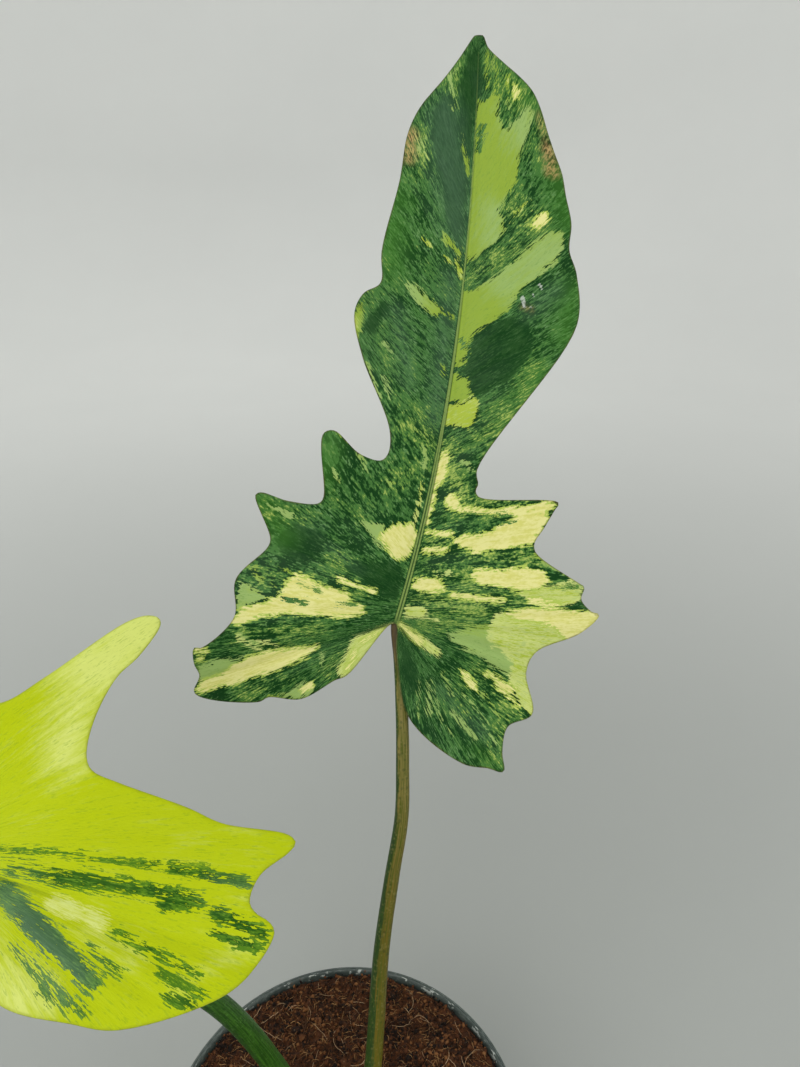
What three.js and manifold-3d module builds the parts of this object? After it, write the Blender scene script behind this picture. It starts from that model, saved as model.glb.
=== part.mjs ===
// A young florida beauty philodendron in a round plastic nursery pot of coir.
// Millimetres, +Z up. The origin is the middle of the flat face that the pot stands on.

import * as THREE from 'three';
import { mergeVertices } from 'three/addons/utils/BufferGeometryUtils.js';
import Module from 'manifold-3d';

const wasm = await Module();
wasm.setup();

// Driving dimensions of the pot
const POT_HEIGHT = 100;
const RIM_RADIUS = 60;
const LIP_WIDTH = 2.3;
const SKIRT_DEPTH = 8;
const SKIRT_THICKNESS = 1.1;
const WALL = 1.4;
const FOOT_RADIUS = 41.5;
const FOOT_WIDTH = 9;
const PAD_RADIUS = 12;
const CHANNEL_RISE = 2;
const FLOOR_THICKNESS = 1.6;
const DRAIN_RADIUS = 4;
const DRAIN_RING_RADIUS = 22;
const DRAIN_COUNT = 6;
const POT_SIDES = 48;

// Driving dimensions of the coir
const CLEARANCE = 0.3;
const COIR_EDGE = 97.6;
const COIR_MIDDLE = 98.6;
const COIR_RINGS = 9;
const COIR_LUMP = 1.5;
const COIR_LUMP_COUNT = 90;
const COIR_SEED = 41;

// Driving dimensions of the stem, with each root nub as its bearing in degrees and its height
const STEM_X = 0;
const STEM_Y = -6;
const STEM_RADIUS = 5.4;
const STEM_FOOT = 62;
const STEM_TOP = 106;
const STEM_SIDES = 20;
const BUD_TOP = 123;
const ROOT_NUBS = [[-70, 102], [115, 101.5], [205, 102.5]];

// Where each blade meets its petiole, the point that its length aims at and the way it faces
const MAIN_PLACE = {
  joint: [17.3, 65.6, 256.6],
  aim: [45.6, 163.2, 431.1],
  facing: [0, -0.87, 0.49],
};
const SECOND_PLACE = {
  joint: [-71.4, -47.2, 274.7],
  aim: [-164.8, 60, 371.5],
  facing: [0.3, -0.48, 0.82],
};

// Driving dimensions of the blades
const BLADE_THICKNESS = 0.8;
const OUTLINE_STEP = 3.4;
const GRID_STEP = 6.6;
const GRID_MARGIN = 2.8;
const FURROW_DEPTH = 2;
const FURROW_REACH = 5;
const RIB_START = 3.3;
const RIB_HALF_WIDTH = 2.2;
const RIB_DEPTH = 2.6;

// Edge of the main blade, clockwise from its cut-off tip, as [across, along] from the joint
const MAIN_EDGE = [
  // Right side of the long end lobe, down to the waist
  [1.5, 202], [3.5, 197], [8.5, 191], [20.5, 180.5], [29, 160], [33, 152.5], [35, 143],
  [37.5, 133.5], [38, 125], [41.5, 118], [44, 102.5], [18.5, 51.5], [19.5, 47],
  // Right side lobes
  [19, 45], [20.5, 43], [46, 45], [45, 42.5], [42.5, 36.5], [40, 31], [41, 28], [55.5, 20.5],
  [57.5, 19.5], [57, 15.5], [61, 12], [63.5, 11.5], [58.5, 5], [45.5, -3], [43.5, -10],
  // Right basal lobe, back to the joint
  [47.5, -23], [40, -28], [39, -36], [40, -41.5], [35, -41], [26.5, -40.5], [8.5, -29.5],
  [1.5, -9.5], [0, -0.5],
  // Left basal lobe
  [-2, -1], [-13.5, -19], [-17, -21], [-27, -28.5], [-37.5, -29.5], [-40.5, -31.5], [-62, -32],
  [-61, -26], [-63, -22.5], [-63.5, -17.5], [-61, -17], [-51.5, -5.5],
  // Left side lobes, up to the waist
  [-53, 6.5], [-44.5, 18], [-44, 21], [-50.5, 34], [-49, 35], [-40, 33.5], [-30, 34],
  [-28.5, 36], [-31, 55.5], [-28, 57], [-19, 51], [-12, 50], [-10, 52.5],
  // Left side of the end lobe
  [-10.5, 60], [-22.5, 82.5], [-27, 96], [-25, 102], [-20, 106], [-21, 116], [-19, 143],
  [-19, 157], [-16, 169.5], [-12.5, 175.5], [-2.5, 198], [-2, 201.5],
];

// Edge of the second blade, in the same way
const SECOND_EDGE = [
  // Right side of the end lobe, down to the waist
  [1, 172], [5, 166], [14, 152], [24, 132], [29, 112], [29, 94], [25, 76], [18, 58],
  [13.5, 44], [12.5, 34], [14, 26],
  // Right side lobes
  [22, 21], [32, 23], [54, 30], [59, 30], [61, 28.5], [60.5, 26.5], [52, 20], [45, 16.5],
  [36, 8], [32, 1.5], [32, -1.5], [35.5, -6], [46, -17], [51, -23], [63, -32], [63.5, -34],
  [61, -35], [53, -36],
  // Right basal lobe, back to the joint
  [48.5, -39.5], [48.5, -42], [50, -45], [50, -47], [45, -50], [36.5, -51.5], [18, -46],
  [11.5, -40.5], [3, -31.5], [-0.5, -16], [0, -5], [-1, -1],
  // Left basal lobe
  [-4, -4], [-9, -13], [-15, -24], [-25, -35], [-38, -42], [-48, -43.5], [-52, -42],
  [-50, -37.5], [-49, -34], [-58, -26], [-61, -22], [-59, -18],
  // Left side lobes, up to the waist
  [-42, -2], [-37, 5], [-37, 12], [-50, 28], [-54, 34], [-52, 36.5], [-32, 30], [-22, 28.5],
  [-16.5, 31], [-15, 37],
  // Left side of the end lobe
  [-16, 46], [-28, 82], [-30, 96], [-27, 108], [-25, 118], [-25, 132], [-20, 148],
  [-11, 161], [-3, 169], [-1, 172],
];

// How each blade is curved: its midrib's bow to one side, the directions of its two basal
// ribs in degrees, its arch, its rolled sides and its waved edge
const MAIN_FORM = {
  length: 202,
  bow: 6.6,
  ribs: [205, -46],
  arch: 9,
  droop: 0,
  lift: 0.1,
  roll: 0.0018,
  wave: 2.4,
  wavelength: 62,
  wavePhase: [0.6, 2.4],
  cup: [0.0042, 0.003],
};
const SECOND_FORM = {
  length: 172,
  bow: -5,
  ribs: [222, -49],
  arch: 0,
  droop: 26,
  lift: 0.08,
  roll: 0.0024,
  wave: 1.8,
  wavelength: 66,
  wavePhase: [1.4, 3],
  cup: [0, 0],
};

// Petiole paths from the stem to the back of the blade, with their diameters at both ends
const MAIN_PETIOLE = [
  [7.1, -3, 111], [9.8, 2.7, 129.5], [12.6, 17.1, 165], [15.8, 27, 185], [19, 36.4, 202.5],
  [19.3, 44.4, 216.5], [19.2, 50.6, 227], [18.3, 61.5, 244.5],
];
const MAIN_PETIOLE_DIAMETERS = [5.8, 3.6];
const SECOND_PETIOLE = [
  [-6.9, -8.3, 111.5], [-12, -7.6, 125], [-19.4, -6.2, 144], [-30.9, -17.4, 190],
  [-52, -34, 237],
];
const SECOND_PETIOLE_DIAMETERS = [7, 5];
const PETIOLE_REACH = 2.4;
const PETIOLE_SIDES = 10;
const PETIOLE_STEPS = 26;

// Colours
const POT_COLOUR = 0x4b554b;
const COIR_COLOUR = 0x4e2b1c;
const STEM_COLOUR = 0x5c7a3a;
const MAIN_PETIOLE_COLOUR = 0x6f6a36;
const SECOND_PETIOLE_COLOUR = 0x3f6b2c;
const MAIN_BLADE_COLOUR = 0x2f6b33;
const SECOND_BLADE_COLOUR = 0xafcb30;

function smooth(low, high, x) {
  return THREE.MathUtils.smoothstep(x, low, high);
}

function bare(geometry) {
  const copy = geometry.clone();
  copy.deleteAttribute('normal');
  copy.deleteAttribute('uv');
  return mergeVertices(copy, 1e-4);
}

function toSolid(geometry) {
  const merged = bare(geometry);
  return new wasm.Manifold(new wasm.Mesh({
    numProp: 3,
    vertProperties: new Float32Array(merged.attributes.position.array),
    triVerts: new Uint32Array(merged.index.array),
  }));
}

function toGeometry(solid) {
  const mesh = solid.getMesh();
  const geometry = new THREE.BufferGeometry();
  geometry.setAttribute('position', new THREE.BufferAttribute(mesh.vertProperties, 3));
  geometry.setIndex(new THREE.BufferAttribute(mesh.triVerts, 1));
  geometry.computeVertexNormals();
  return geometry;
}

function lathe(profile, sides) {
  const points = profile.map(([radius, height]) => new THREE.Vector2(radius, height));
  return new THREE.LatheGeometry(points, sides).rotateX(Math.PI / 2);
}

function material(colour, roughness) {
  return new THREE.MeshStandardMaterial({ color: colour, roughness, metalness: 0 });
}

// Repeatable random numbers from 0 to 1
function randomFrom(seed) {
  let state = seed;
  return () => {
    state = (state * 1664525 + 1013904223) % 4294967296;
    return state / 4294967296;
  };
}

// The wall leans out from the foot to the lip
function innerRadius(height) {
  const topRadius = RIM_RADIUS - LIP_WIDTH;
  return THREE.MathUtils.lerp(FOOT_RADIUS - WALL, topRadius, height / POT_HEIGHT);
}

// Thin wall with a middle pad, a raised drain channel and a foot ring underneath, and a lip
// whose skirt hangs clear of the wall
function makePot() {
  const channelTop = CHANNEL_RISE + FLOOR_THICKNESS;
  const ringInside = FOOT_RADIUS - FOOT_WIDTH;
  const skirtFoot = POT_HEIGHT - SKIRT_DEPTH;
  const skirtInside = RIM_RADIUS - SKIRT_THICKNESS;
  const profile = [
    [0, 0],
    [PAD_RADIUS, 0],
    [PAD_RADIUS + 1, CHANNEL_RISE],
    [ringInside - 1, CHANNEL_RISE],
    [ringInside, 0],
    [FOOT_RADIUS - 0.8, 0],
    [FOOT_RADIUS, 0.8],
    [innerRadius(skirtFoot) + WALL, skirtFoot],
    [innerRadius(POT_HEIGHT - 2) + WALL - 0.3, POT_HEIGHT - 2],
    [skirtInside, POT_HEIGHT - 2],
    [skirtInside - 0.3, skirtFoot],
    [RIM_RADIUS - 0.7, skirtFoot],
    [RIM_RADIUS, POT_HEIGHT - 1],
    [RIM_RADIUS - 0.5, POT_HEIGHT],
    [innerRadius(POT_HEIGHT) + 0.4, POT_HEIGHT],
    [innerRadius(POT_HEIGHT), POT_HEIGHT - 0.6],
    [innerRadius(channelTop), channelTop],
    [innerRadius(0) - 2.5, FLOOR_THICKNESS],
    [ringInside, FLOOR_THICKNESS],
    [ringInside - 1, channelTop],
    [PAD_RADIUS + 1, channelTop],
    [PAD_RADIUS, FLOOR_THICKNESS],
    [0, FLOOR_THICKNESS],
  ];
  let solid = toSolid(lathe(profile, POT_SIDES));
  for (let i = 0; i < DRAIN_COUNT; i += 1) {
    const angle = (i / DRAIN_COUNT) * 2 * Math.PI;
    const drain = new THREE.CylinderGeometry(DRAIN_RADIUS, DRAIN_RADIUS, 2 * channelTop, 12)
      .rotateX(Math.PI / 2)
      .translate(DRAIN_RING_RADIUS, 0, channelTop)
      .rotateZ(angle);
    solid = solid.subtract(toSolid(drain));
  }
  return toGeometry(solid);
}

// Crumbly relief from a few rings of seeded lumps and hollows
function makeLumps() {
  const random = randomFrom(COIR_SEED);
  const lumps = [];
  for (let i = 0; i < COIR_LUMP_COUNT; i += 1) {
    const radius = 52 * Math.sqrt(random());
    const angle = 2 * Math.PI * random();
    lumps.push({
      x: radius * Math.cos(angle),
      y: radius * Math.sin(angle),
      size: 3.5 + 4 * random(),
      rise: COIR_LUMP * (1.6 * random() - 0.6),
    });
  }
  return lumps;
}

function coirTop(x, y, lumps) {
  const radius = Math.hypot(x, y);
  let height = THREE.MathUtils.lerp(COIR_MIDDLE, COIR_EDGE, smooth(20, 56, radius));
  for (const lump of lumps) {
    const away = Math.hypot(x - lump.x, y - lump.y) / lump.size;
    height += lump.rise * Math.exp(-away * away) * smooth(57, 50, radius);
  }
  return height;
}

// A plug of coir that fills the pot, with a plain hole for the stem
function makeSoil() {
  const bottom = CHANNEL_RISE + FLOOR_THICKNESS + CLEARANCE;
  const edge = innerRadius(COIR_EDGE) - CLEARANCE;
  const profile = [
    [0, bottom],
    [innerRadius(bottom) - CLEARANCE - 1, bottom],
    [innerRadius(bottom + 1) - CLEARANCE, bottom + 1],
  ];
  for (let ring = 0; ring <= COIR_RINGS; ring += 1) {
    profile.push([edge * (1 - ring / COIR_RINGS), COIR_EDGE]);
  }
  const geometry = bare(lathe(profile, POT_SIDES));
  const lumps = makeLumps();
  const position = geometry.attributes.position;
  for (let i = 0; i < position.count; i += 1) {
    if (position.getZ(i) > COIR_EDGE - 0.5) {
      position.setZ(i, coirTop(position.getX(i), position.getY(i), lumps));
    }
  }
  const holeRadius = STEM_RADIUS + CLEARANCE + 0.1;
  const holeFoot = STEM_FOOT - CLEARANCE;
  const holeTop = STEM_TOP + 10;
  const hole = new THREE.CylinderGeometry(holeRadius, holeRadius, holeTop - holeFoot, STEM_SIDES)
    .rotateX(Math.PI / 2)
    .translate(STEM_X, STEM_Y, (holeFoot + holeTop) / 2);
  return toGeometry(toSolid(geometry).subtract(toSolid(hole)));
}

// Scales a tube about its own path, from one share of its radius to another
function taper(geometry, path, steps, startShare, endShare) {
  const centres = path.getSpacedPoints(steps);
  const position = geometry.attributes.position;
  const point = new THREE.Vector3();
  for (let i = 0; i < position.count; i += 1) {
    point.fromBufferAttribute(position, i);
    let nearest = 0;
    centres.forEach((centre, step) => {
      if (centre.distanceToSquared(point) < centres[nearest].distanceToSquared(point)) {
        nearest = step;
      }
    });
    const share = THREE.MathUtils.lerp(startShare, endShare, nearest / steps);
    point.sub(centres[nearest]).multiplyScalar(share).add(centres[nearest]);
    position.setXYZ(i, point.x, point.y, point.z);
  }
  return geometry;
}

function tube(points, startRadius, endRadius, sides, steps) {
  const path = new THREE.CatmullRomCurve3(points, false, 'centripetal');
  const section = new THREE.Shape();
  section.absarc(0, 0, startRadius, 0, 2 * Math.PI);
  const geometry = new THREE.ExtrudeGeometry(section, {
    steps,
    curveSegments: sides / 2,
    extrudePath: path,
    bevelEnabled: false,
  });
  return taper(bare(geometry), path, steps, 1, endRadius / startRadius);
}

function vectors(list) {
  return list.map(([x, y, z]) => new THREE.Vector3(x, y, z));
}

// The stem's stub under a petiole ends square to the petiole, a little short of it
function makeStub(petiolePoints, diameter) {
  const [first, second] = vectors(petiolePoints.slice(0, 2));
  const way = second.clone().sub(first).normalize();
  const end = first.clone().addScaledVector(way, -CLEARANCE);
  const start = new THREE.Vector3(STEM_X, STEM_Y, end.z - 12);
  const bend = end.clone().addScaledVector(way, -4);
  return tube([start, bend, end], 0.62 * diameter, 0.5 * diameter, 12, 6);
}

// A short jointed stem with a leaf base on each side, aerial root nubs and a pointed bud
function makeStem() {
  const body = lathe([
    [0, STEM_FOOT],
    [STEM_RADIUS - 1.6, STEM_FOOT],
    [STEM_RADIUS - 0.4, STEM_FOOT + 4],
    [STEM_RADIUS - 0.4, STEM_TOP - 12],
    [STEM_RADIUS, STEM_TOP - 8],
    [STEM_RADIUS - 0.4, STEM_TOP - 4],
    [STEM_RADIUS - 1.4, STEM_TOP - 1],
    [0, STEM_TOP],
  ], STEM_SIDES).translate(STEM_X, STEM_Y, 0);
  let solid = toSolid(body);
  solid = solid.add(toSolid(makeStub(MAIN_PETIOLE, MAIN_PETIOLE_DIAMETERS[0])));
  solid = solid.add(toSolid(makeStub(SECOND_PETIOLE, SECOND_PETIOLE_DIAMETERS[0])));
  const bud = tube(vectors([
    [STEM_X, STEM_Y, STEM_TOP - 5], [STEM_X, STEM_Y - 1.5, STEM_TOP + 6],
    [STEM_X, STEM_Y - 5, BUD_TOP],
  ]), 2.6, 0.5, 10, 8);
  solid = solid.add(toSolid(bud));
  for (const [degrees, height] of ROOT_NUBS) {
    const angle = THREE.MathUtils.degToRad(degrees);
    const out = (reach) => [
      STEM_X + reach * Math.cos(angle), STEM_Y + reach * Math.sin(angle),
    ];
    const nub = tube(vectors([
      [...out(2), height], [...out(7), height], [...out(10), height - 0.8],
    ]), 1.3, 0.7, 8, 5);
    solid = solid.add(toSolid(nub));
  }
  return toGeometry(solid);
}

// Distance across from the chord to the bowed midrib
function midrib(along, form) {
  const t = THREE.MathUtils.clamp(along / form.length, 0, 1);
  return form.bow * 4 * t * (1 - t) * (1.06 - 0.12 * t);
}

function ribDistance(across, along, form) {
  const fromJoint = Math.hypot(across, along);
  let least = along >= 0 ? Math.abs(across - midrib(along, form)) : fromJoint;
  for (const degrees of form.ribs) {
    const angle = THREE.MathUtils.degToRad(degrees);
    const out = across * Math.cos(angle) + along * Math.sin(angle);
    const off = Math.abs(along * Math.cos(angle) - across * Math.sin(angle));
    least = Math.min(least, out > 0 ? off : fromJoint);
  }
  return least;
}

// How far the blade's face stands off its base plane
function bladeHeight(across, along, form) {
  const t = along / form.length;
  const side = Math.abs(across - midrib(along, form));
  const right = across > midrib(along, form);
  const arch = form.arch * (t > 0 ? Math.sin(Math.PI * Math.min(t, 1)) : Math.PI * t);
  const droop = -form.droop * t * t * (t > 0 ? 1 : 0.23);
  const furrow = FURROW_DEPTH * (1 - Math.exp(-ribDistance(across, along, form) / FURROW_REACH));
  const section = form.lift * side - form.roll * side * side;
  const phase = (2 * Math.PI * along) / form.wavelength + form.wavePhase[right ? 0 : 1];
  const wave = form.wave * smooth(8, 34, side) * Math.sin(phase);
  const cup = form.cup[across > 0 ? 0 : 1] * Math.min(along, 0) ** 2;
  return arch + droop + furrow + section + wave + cup;
}

// The blade is thicker along the back of its midrib, which starts above the petiole's end
function bladeDepth(across, along, form) {
  const off = Math.abs(across - midrib(along, form));
  const start = smooth(RIB_START - 0.3, RIB_START + 0.4, along);
  const rib = RIB_DEPTH * (1 - 0.85 * smooth(0, form.length, along));
  return BLADE_THICKNESS + rib * start * (1 - smooth(0.7, RIB_HALF_WIDTH, off));
}

// Closed outline through the given points, at nearly even steps
function outlinePoints(edge) {
  const points = edge.map(([across, along]) => new THREE.Vector3(across, along, 0));
  const curve = new THREE.CatmullRomCurve3(points, true, 'centripetal');
  curve.arcLengthDivisions = 2000;
  const count = Math.round(curve.getLength() / OUTLINE_STEP);
  return curve.getSpacedPoints(count).slice(0, count).map((p) => [p.x, p.y]);
}

function isInside([x, y], outline) {
  let inside = false;
  outline.forEach(([ax, ay], i) => {
    const [bx, by] = outline[(i + 1) % outline.length];
    if (ay > y !== by > y && x < ax + ((bx - ax) * (y - ay)) / (by - ay)) {
      inside = !inside;
    }
  });
  return inside;
}

function edgeDistance([x, y], outline) {
  return Math.min(...outline.map(([ax, ay], i) => {
    const [bx, by] = outline[(i + 1) % outline.length];
    const [dx, dy] = [bx - ax, by - ay];
    const t = THREE.MathUtils.clamp(((x - ax) * dx + (y - ay) * dy) / (dx * dx + dy * dy), 0, 1);
    return Math.hypot(x - ax - t * dx, y - ay - t * dy);
  }));
}

// Points inside the outline: rows beside the midrib and basal ribs, then an even net
function innerPoints(outline, form) {
  const points = [];
  const clear = (p, distance) => points.every(([x, y]) => Math.hypot(x - p[0], y - p[1]) > distance);
  const add = (p, distance) => {
    if (isInside(p, outline) && edgeDistance(p, outline) > 1.2 && clear(p, distance)) {
      points.push(p);
    }
  };
  for (const off of [0, -0.7, 0.7, -RIB_HALF_WIDTH, RIB_HALF_WIDTH]) {
    for (const along of [RIB_START - 0.3, RIB_START + 0.4]) {
      add([midrib(along, form) + off, along], 0.4);
    }
    for (let along = RIB_START + 4; along < form.length - 4; along += 5) {
      add([midrib(along, form) + off, along], 0.6);
    }
  }
  for (const degrees of form.ribs) {
    const angle = THREE.MathUtils.degToRad(degrees);
    for (let out = 4; out < 60; out += 5) {
      add([out * Math.cos(angle), out * Math.sin(angle)], 2.2);
    }
  }
  const rowStep = GRID_STEP * Math.sqrt(0.75);
  for (let row = 0, along = -60; along < form.length; row += 1, along += rowStep) {
    for (let across = -70 + (row % 2) * GRID_STEP * 0.5; across < 70; across += GRID_STEP) {
      if (edgeDistance([across, along], outline) > GRID_MARGIN) {
        add([across, along], 0.62 * GRID_STEP);
      }
    }
  }
  return points;
}

// Circle through three points, as its middle and the square of its radius
function circle(a, b, c) {
  const [bx, by] = [b[0] - a[0], b[1] - a[1]];
  const [cx, cy] = [c[0] - a[0], c[1] - a[1]];
  const twice = 2 * (bx * cy - by * cx);
  const ux = (cy * (bx * bx + by * by) - by * (cx * cx + cy * cy)) / twice;
  const uy = (bx * (cx * cx + cy * cy) - cx * (bx * bx + by * by)) / twice;
  return { x: a[0] + ux, y: a[1] + uy, square: ux * ux + uy * uy };
}

// Splits the outline's inside into near-even triangles, one point at a time
function triangulate(outline, inner) {
  const points = [...outline, ...inner];
  const count = points.length;
  const far = 1000;
  const all = [...points, [-far, -far], [far, -far], [0, 2 * far]];
  let triangles = [{ corners: [count, count + 1, count + 2] }];
  triangles[0].circle = circle(all[count], all[count + 1], all[count + 2]);
  points.forEach((point, index) => {
    const edges = new Map();
    triangles = triangles.filter((triangle) => {
      const { x, y, square } = triangle.circle;
      if ((point[0] - x) ** 2 + (point[1] - y) ** 2 >= square) {
        return true;
      }
      triangle.corners.forEach((from, i) => {
        const to = triangle.corners[(i + 1) % 3];
        const back = `${to},${from}`;
        if (edges.has(back)) {
          edges.delete(back);
        } else {
          edges.set(`${from},${to}`, [from, to]);
        }
      });
      return false;
    });
    for (const [from, to] of edges.values()) {
      triangles.push({ corners: [from, to, index], circle: circle(all[from], all[to], point) });
    }
  });
  const kept = triangles.filter(({ corners }) => {
    if (Math.max(...corners) >= count) {
      return false;
    }
    const middle = [0, 1].map((axis) => corners.reduce((sum, i) => sum + points[i][axis] / 3, 0));
    return isInside(middle, outline);
  });
  return { points, triangles: kept.map(({ corners }) => corners) };
}

// The blade's own axes: across to its right, along to its tip, and out of its face
function bladeAxes(place) {
  const joint = new THREE.Vector3(...place.joint);
  const along = new THREE.Vector3(...place.aim).sub(joint).normalize();
  const right = along.clone().cross(new THREE.Vector3(...place.facing)).normalize();
  const out = right.clone().cross(along);
  return new THREE.Matrix4().makeBasis(right, along, out).setPosition(joint);
}

// A thin curved blade: front and back share one net of triangles, joined around the edge
function makeBlade(edge, form, place) {
  const outline = outlinePoints(edge);
  const { points, triangles } = triangulate(outline, innerPoints(outline, form));
  const positions = [];
  for (const back of [false, true]) {
    for (const [across, along] of points) {
      const height = bladeHeight(across, along, form);
      const depth = back ? bladeDepth(across, along, form) : 0;
      positions.push(across, along, height - depth);
    }
  }
  const behind = points.length;
  const faces = triangles.flatMap(([a, b, c]) => [a, b, c, behind + a, behind + c, behind + b]);
  const turn = Math.sign(THREE.ShapeUtils.area(outline.map(([x, y]) => new THREE.Vector2(x, y))));
  outline.forEach((_, i) => {
    const next = (i + 1) % outline.length;
    const [from, to] = turn > 0 ? [i, next] : [next, i];
    faces.push(from, behind + from, to, to, behind + from, behind + to);
  });
  const geometry = new THREE.BufferGeometry();
  geometry.setAttribute('position', new THREE.Float32BufferAttribute(positions, 3));
  geometry.setIndex(faces);
  geometry.applyMatrix4(bladeAxes(place));
  geometry.computeVertexNormals();
  return geometry;
}

// The petiole's tilted end lies just behind the blade, a little past the joint
function makePetiole(list, diameters, place) {
  const axes = bladeAxes(place);
  const radius = diameters[1] / 2;
  const points = vectors(list);
  const out = new THREE.Vector3().setFromMatrixColumn(axes, 2);
  const way = new THREE.Vector3(...place.joint).sub(points[points.length - 1]).normalize();
  const behind = BLADE_THICKNESS + CLEARANCE + 0.1 + radius * Math.sqrt(1 - way.dot(out) ** 2);
  points.push(new THREE.Vector3(0, PETIOLE_REACH, -behind).applyMatrix4(axes));
  return tube(points, diameters[0] / 2, radius, PETIOLE_SIDES, PETIOLE_STEPS);
}

const group = new THREE.Group();

function addPiece(name, geometry, look) {
  const mesh = new THREE.Mesh(geometry, look);
  mesh.name = name;
  group.add(mesh);
}

addPiece('pot', makePot(), material(POT_COLOUR, 0.6));
addPiece('soil', makeSoil(), material(COIR_COLOUR, 1));
addPiece('stem', makeStem(), material(STEM_COLOUR, 0.5));
addPiece(
  'petiole_main',
  makePetiole(MAIN_PETIOLE, MAIN_PETIOLE_DIAMETERS, MAIN_PLACE),
  material(MAIN_PETIOLE_COLOUR, 0.5),
);
addPiece(
  'petiole_second',
  makePetiole(SECOND_PETIOLE, SECOND_PETIOLE_DIAMETERS, SECOND_PLACE),
  material(SECOND_PETIOLE_COLOUR, 0.5),
);
addPiece(
  'blade_main',
  makeBlade(MAIN_EDGE, MAIN_FORM, MAIN_PLACE),
  material(MAIN_BLADE_COLOUR, 0.45),
);
addPiece(
  'blade_second',
  makeBlade(SECOND_EDGE, SECOND_FORM, SECOND_PLACE),
  material(SECOND_BLADE_COLOUR, 0.45),
);

export default group;
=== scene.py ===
# %% [markdown]
# # Dressing a potted florida beauty philodendron
#
# The plain solids of this plant are ready: a round nursery pot, its plug of coir, a short stem
# and two lobed leaves, each on a long petiole. They have the right sizes but flat facets and one
# colour each. This lesson gives every solid a finished piece in its place, piece by piece, with
# shapes from mesh code and finishes from shader nodes. Nothing is painted from a picture.
#
# First the solids are loaded as a fixed frame. The finished plant has to stay inside it apart
# from a few millimetres.

# %% Load the solids
import math
import random

import bmesh
import bpy
import numpy as np
from mathutils import Matrix, Vector, noise
from mathutils.geometry import delaunay_2d_cdt
from mathutils.kdtree import KDTree


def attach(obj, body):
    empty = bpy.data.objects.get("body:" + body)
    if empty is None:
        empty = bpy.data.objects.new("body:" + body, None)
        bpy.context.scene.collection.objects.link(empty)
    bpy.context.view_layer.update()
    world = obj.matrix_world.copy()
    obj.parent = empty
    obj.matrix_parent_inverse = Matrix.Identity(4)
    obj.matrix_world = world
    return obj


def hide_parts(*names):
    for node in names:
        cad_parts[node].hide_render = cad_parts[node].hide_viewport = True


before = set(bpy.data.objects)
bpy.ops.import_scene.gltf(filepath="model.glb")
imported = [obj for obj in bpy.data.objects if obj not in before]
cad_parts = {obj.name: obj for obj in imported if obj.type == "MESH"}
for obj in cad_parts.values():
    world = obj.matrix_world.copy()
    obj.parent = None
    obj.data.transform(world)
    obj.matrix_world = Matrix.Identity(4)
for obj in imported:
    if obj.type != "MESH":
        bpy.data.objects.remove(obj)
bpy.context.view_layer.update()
MM = 0.001
TURN = 2 * math.pi
print("solids:", sorted(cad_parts))

# %% [markdown]
# ## Camera
#
# The plant was seen through a phone's main lens, from a little above and in front. The lens is
# given as a focal length on a 36 mm wide sensor. The camera stands 0.39 m up and looks down by
# about 25 degrees, which lines the pot's rim, both leaves and the long petiole up with the view
# that they were measured in. Depth of field stays off, so that other views stay sharp.

# %% Camera
CAMERA_PLACE = (0.01846, -0.15809, 0.39214)
CAMERA_TILT = 65.1
FOCAL_LENGTH, SENSOR_WIDTH, CLIP_START = 27.03, 36, 0.01


def add_object(name, data):
    """A new object in the scene."""
    thing = bpy.data.objects.new(name, data)
    bpy.context.scene.collection.objects.link(thing)
    return thing


camera = add_object("camera", bpy.data.cameras.new("camera"))
camera.data.sensor_width = SENSOR_WIDTH
camera.data.lens = FOCAL_LENGTH
camera.data.clip_start = CLIP_START
camera.location = CAMERA_PLACE
camera.rotation_euler = (math.radians(CAMERA_TILT), 0, 0)
bpy.context.scene.camera = camera
print("camera at", CAMERA_PLACE, "metres, lens", FOCAL_LENGTH, "mm")

# %% [markdown]
# ## Small helpers for nodes
#
# A finish is a tree of shader nodes. Placing nodes one by one takes many lines, so `put` adds a
# node and fills its inputs in one go: an input is given either a plain value or the output of
# another node. `times`, `weighed`, `mixed` and `ramped` are the steps that every finish needs, and
# `finish_surface` ends it.

# %% Helpers for nodes
def put(tree, kind, inputs=None, **settings):
    """Adds a node. Each input gets a plain value or another node's output."""
    node = tree.nodes.new(kind)
    for name, value in settings.items():
        setattr(node, name, value)
    for name, value in (inputs or {}).items():
        if isinstance(value, bpy.types.NodeSocket):
            tree.links.new(value, node.inputs[name])
        else:
            node.inputs[name].default_value = value
    return node


def maths(tree, operation, first, second=0.0):
    return put(tree, "ShaderNodeMath", {0: first, 1: second}, operation=operation).outputs[0]


def times(tree, product, *others):
    """The product of values."""
    for other in others:
        product = maths(tree, "MULTIPLY", product, other)
    return product


def weighed(tree, *pairs):
    """The sum of values, each times its weight."""
    total = 0.0
    for value, weight in pairs:
        total = maths(tree, "ADD", total, times(tree, value, weight))
    return total


def mixed(tree, share, first, second):
    """A colour between two others."""
    return put(tree, "ShaderNodeMix", {0: share, 6: first, 7: second}, data_type="RGBA").outputs[2]


def ramped(tree, value, low, high, start=0.0, end=1.0):
    """A soft step from start to end while the value goes from low to high."""
    return put(tree, "ShaderNodeMapRange", {
        "Value": value, "From Min": low, "From Max": high, "To Min": start, "To Max": end,
    }, interpolation_type="SMOOTHSTEP").outputs[0]


def stored(tree, name):
    """A number that the mesh keeps at each of its points."""
    return put(tree, "ShaderNodeAttribute", attribute_name=name).outputs["Fac"]


def place_in(tree):
    """The place on the object, in metres."""
    return put(tree, "ShaderNodeTexCoord").outputs["Object"]


def clouds(tree, place, scale, detail=2.0, rough=0.5):
    return put(tree, "ShaderNodeTexNoise", {
        "Vector": place, "Scale": scale, "Detail": detail, "Roughness": rough,
    }).outputs["Fac"]


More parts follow.
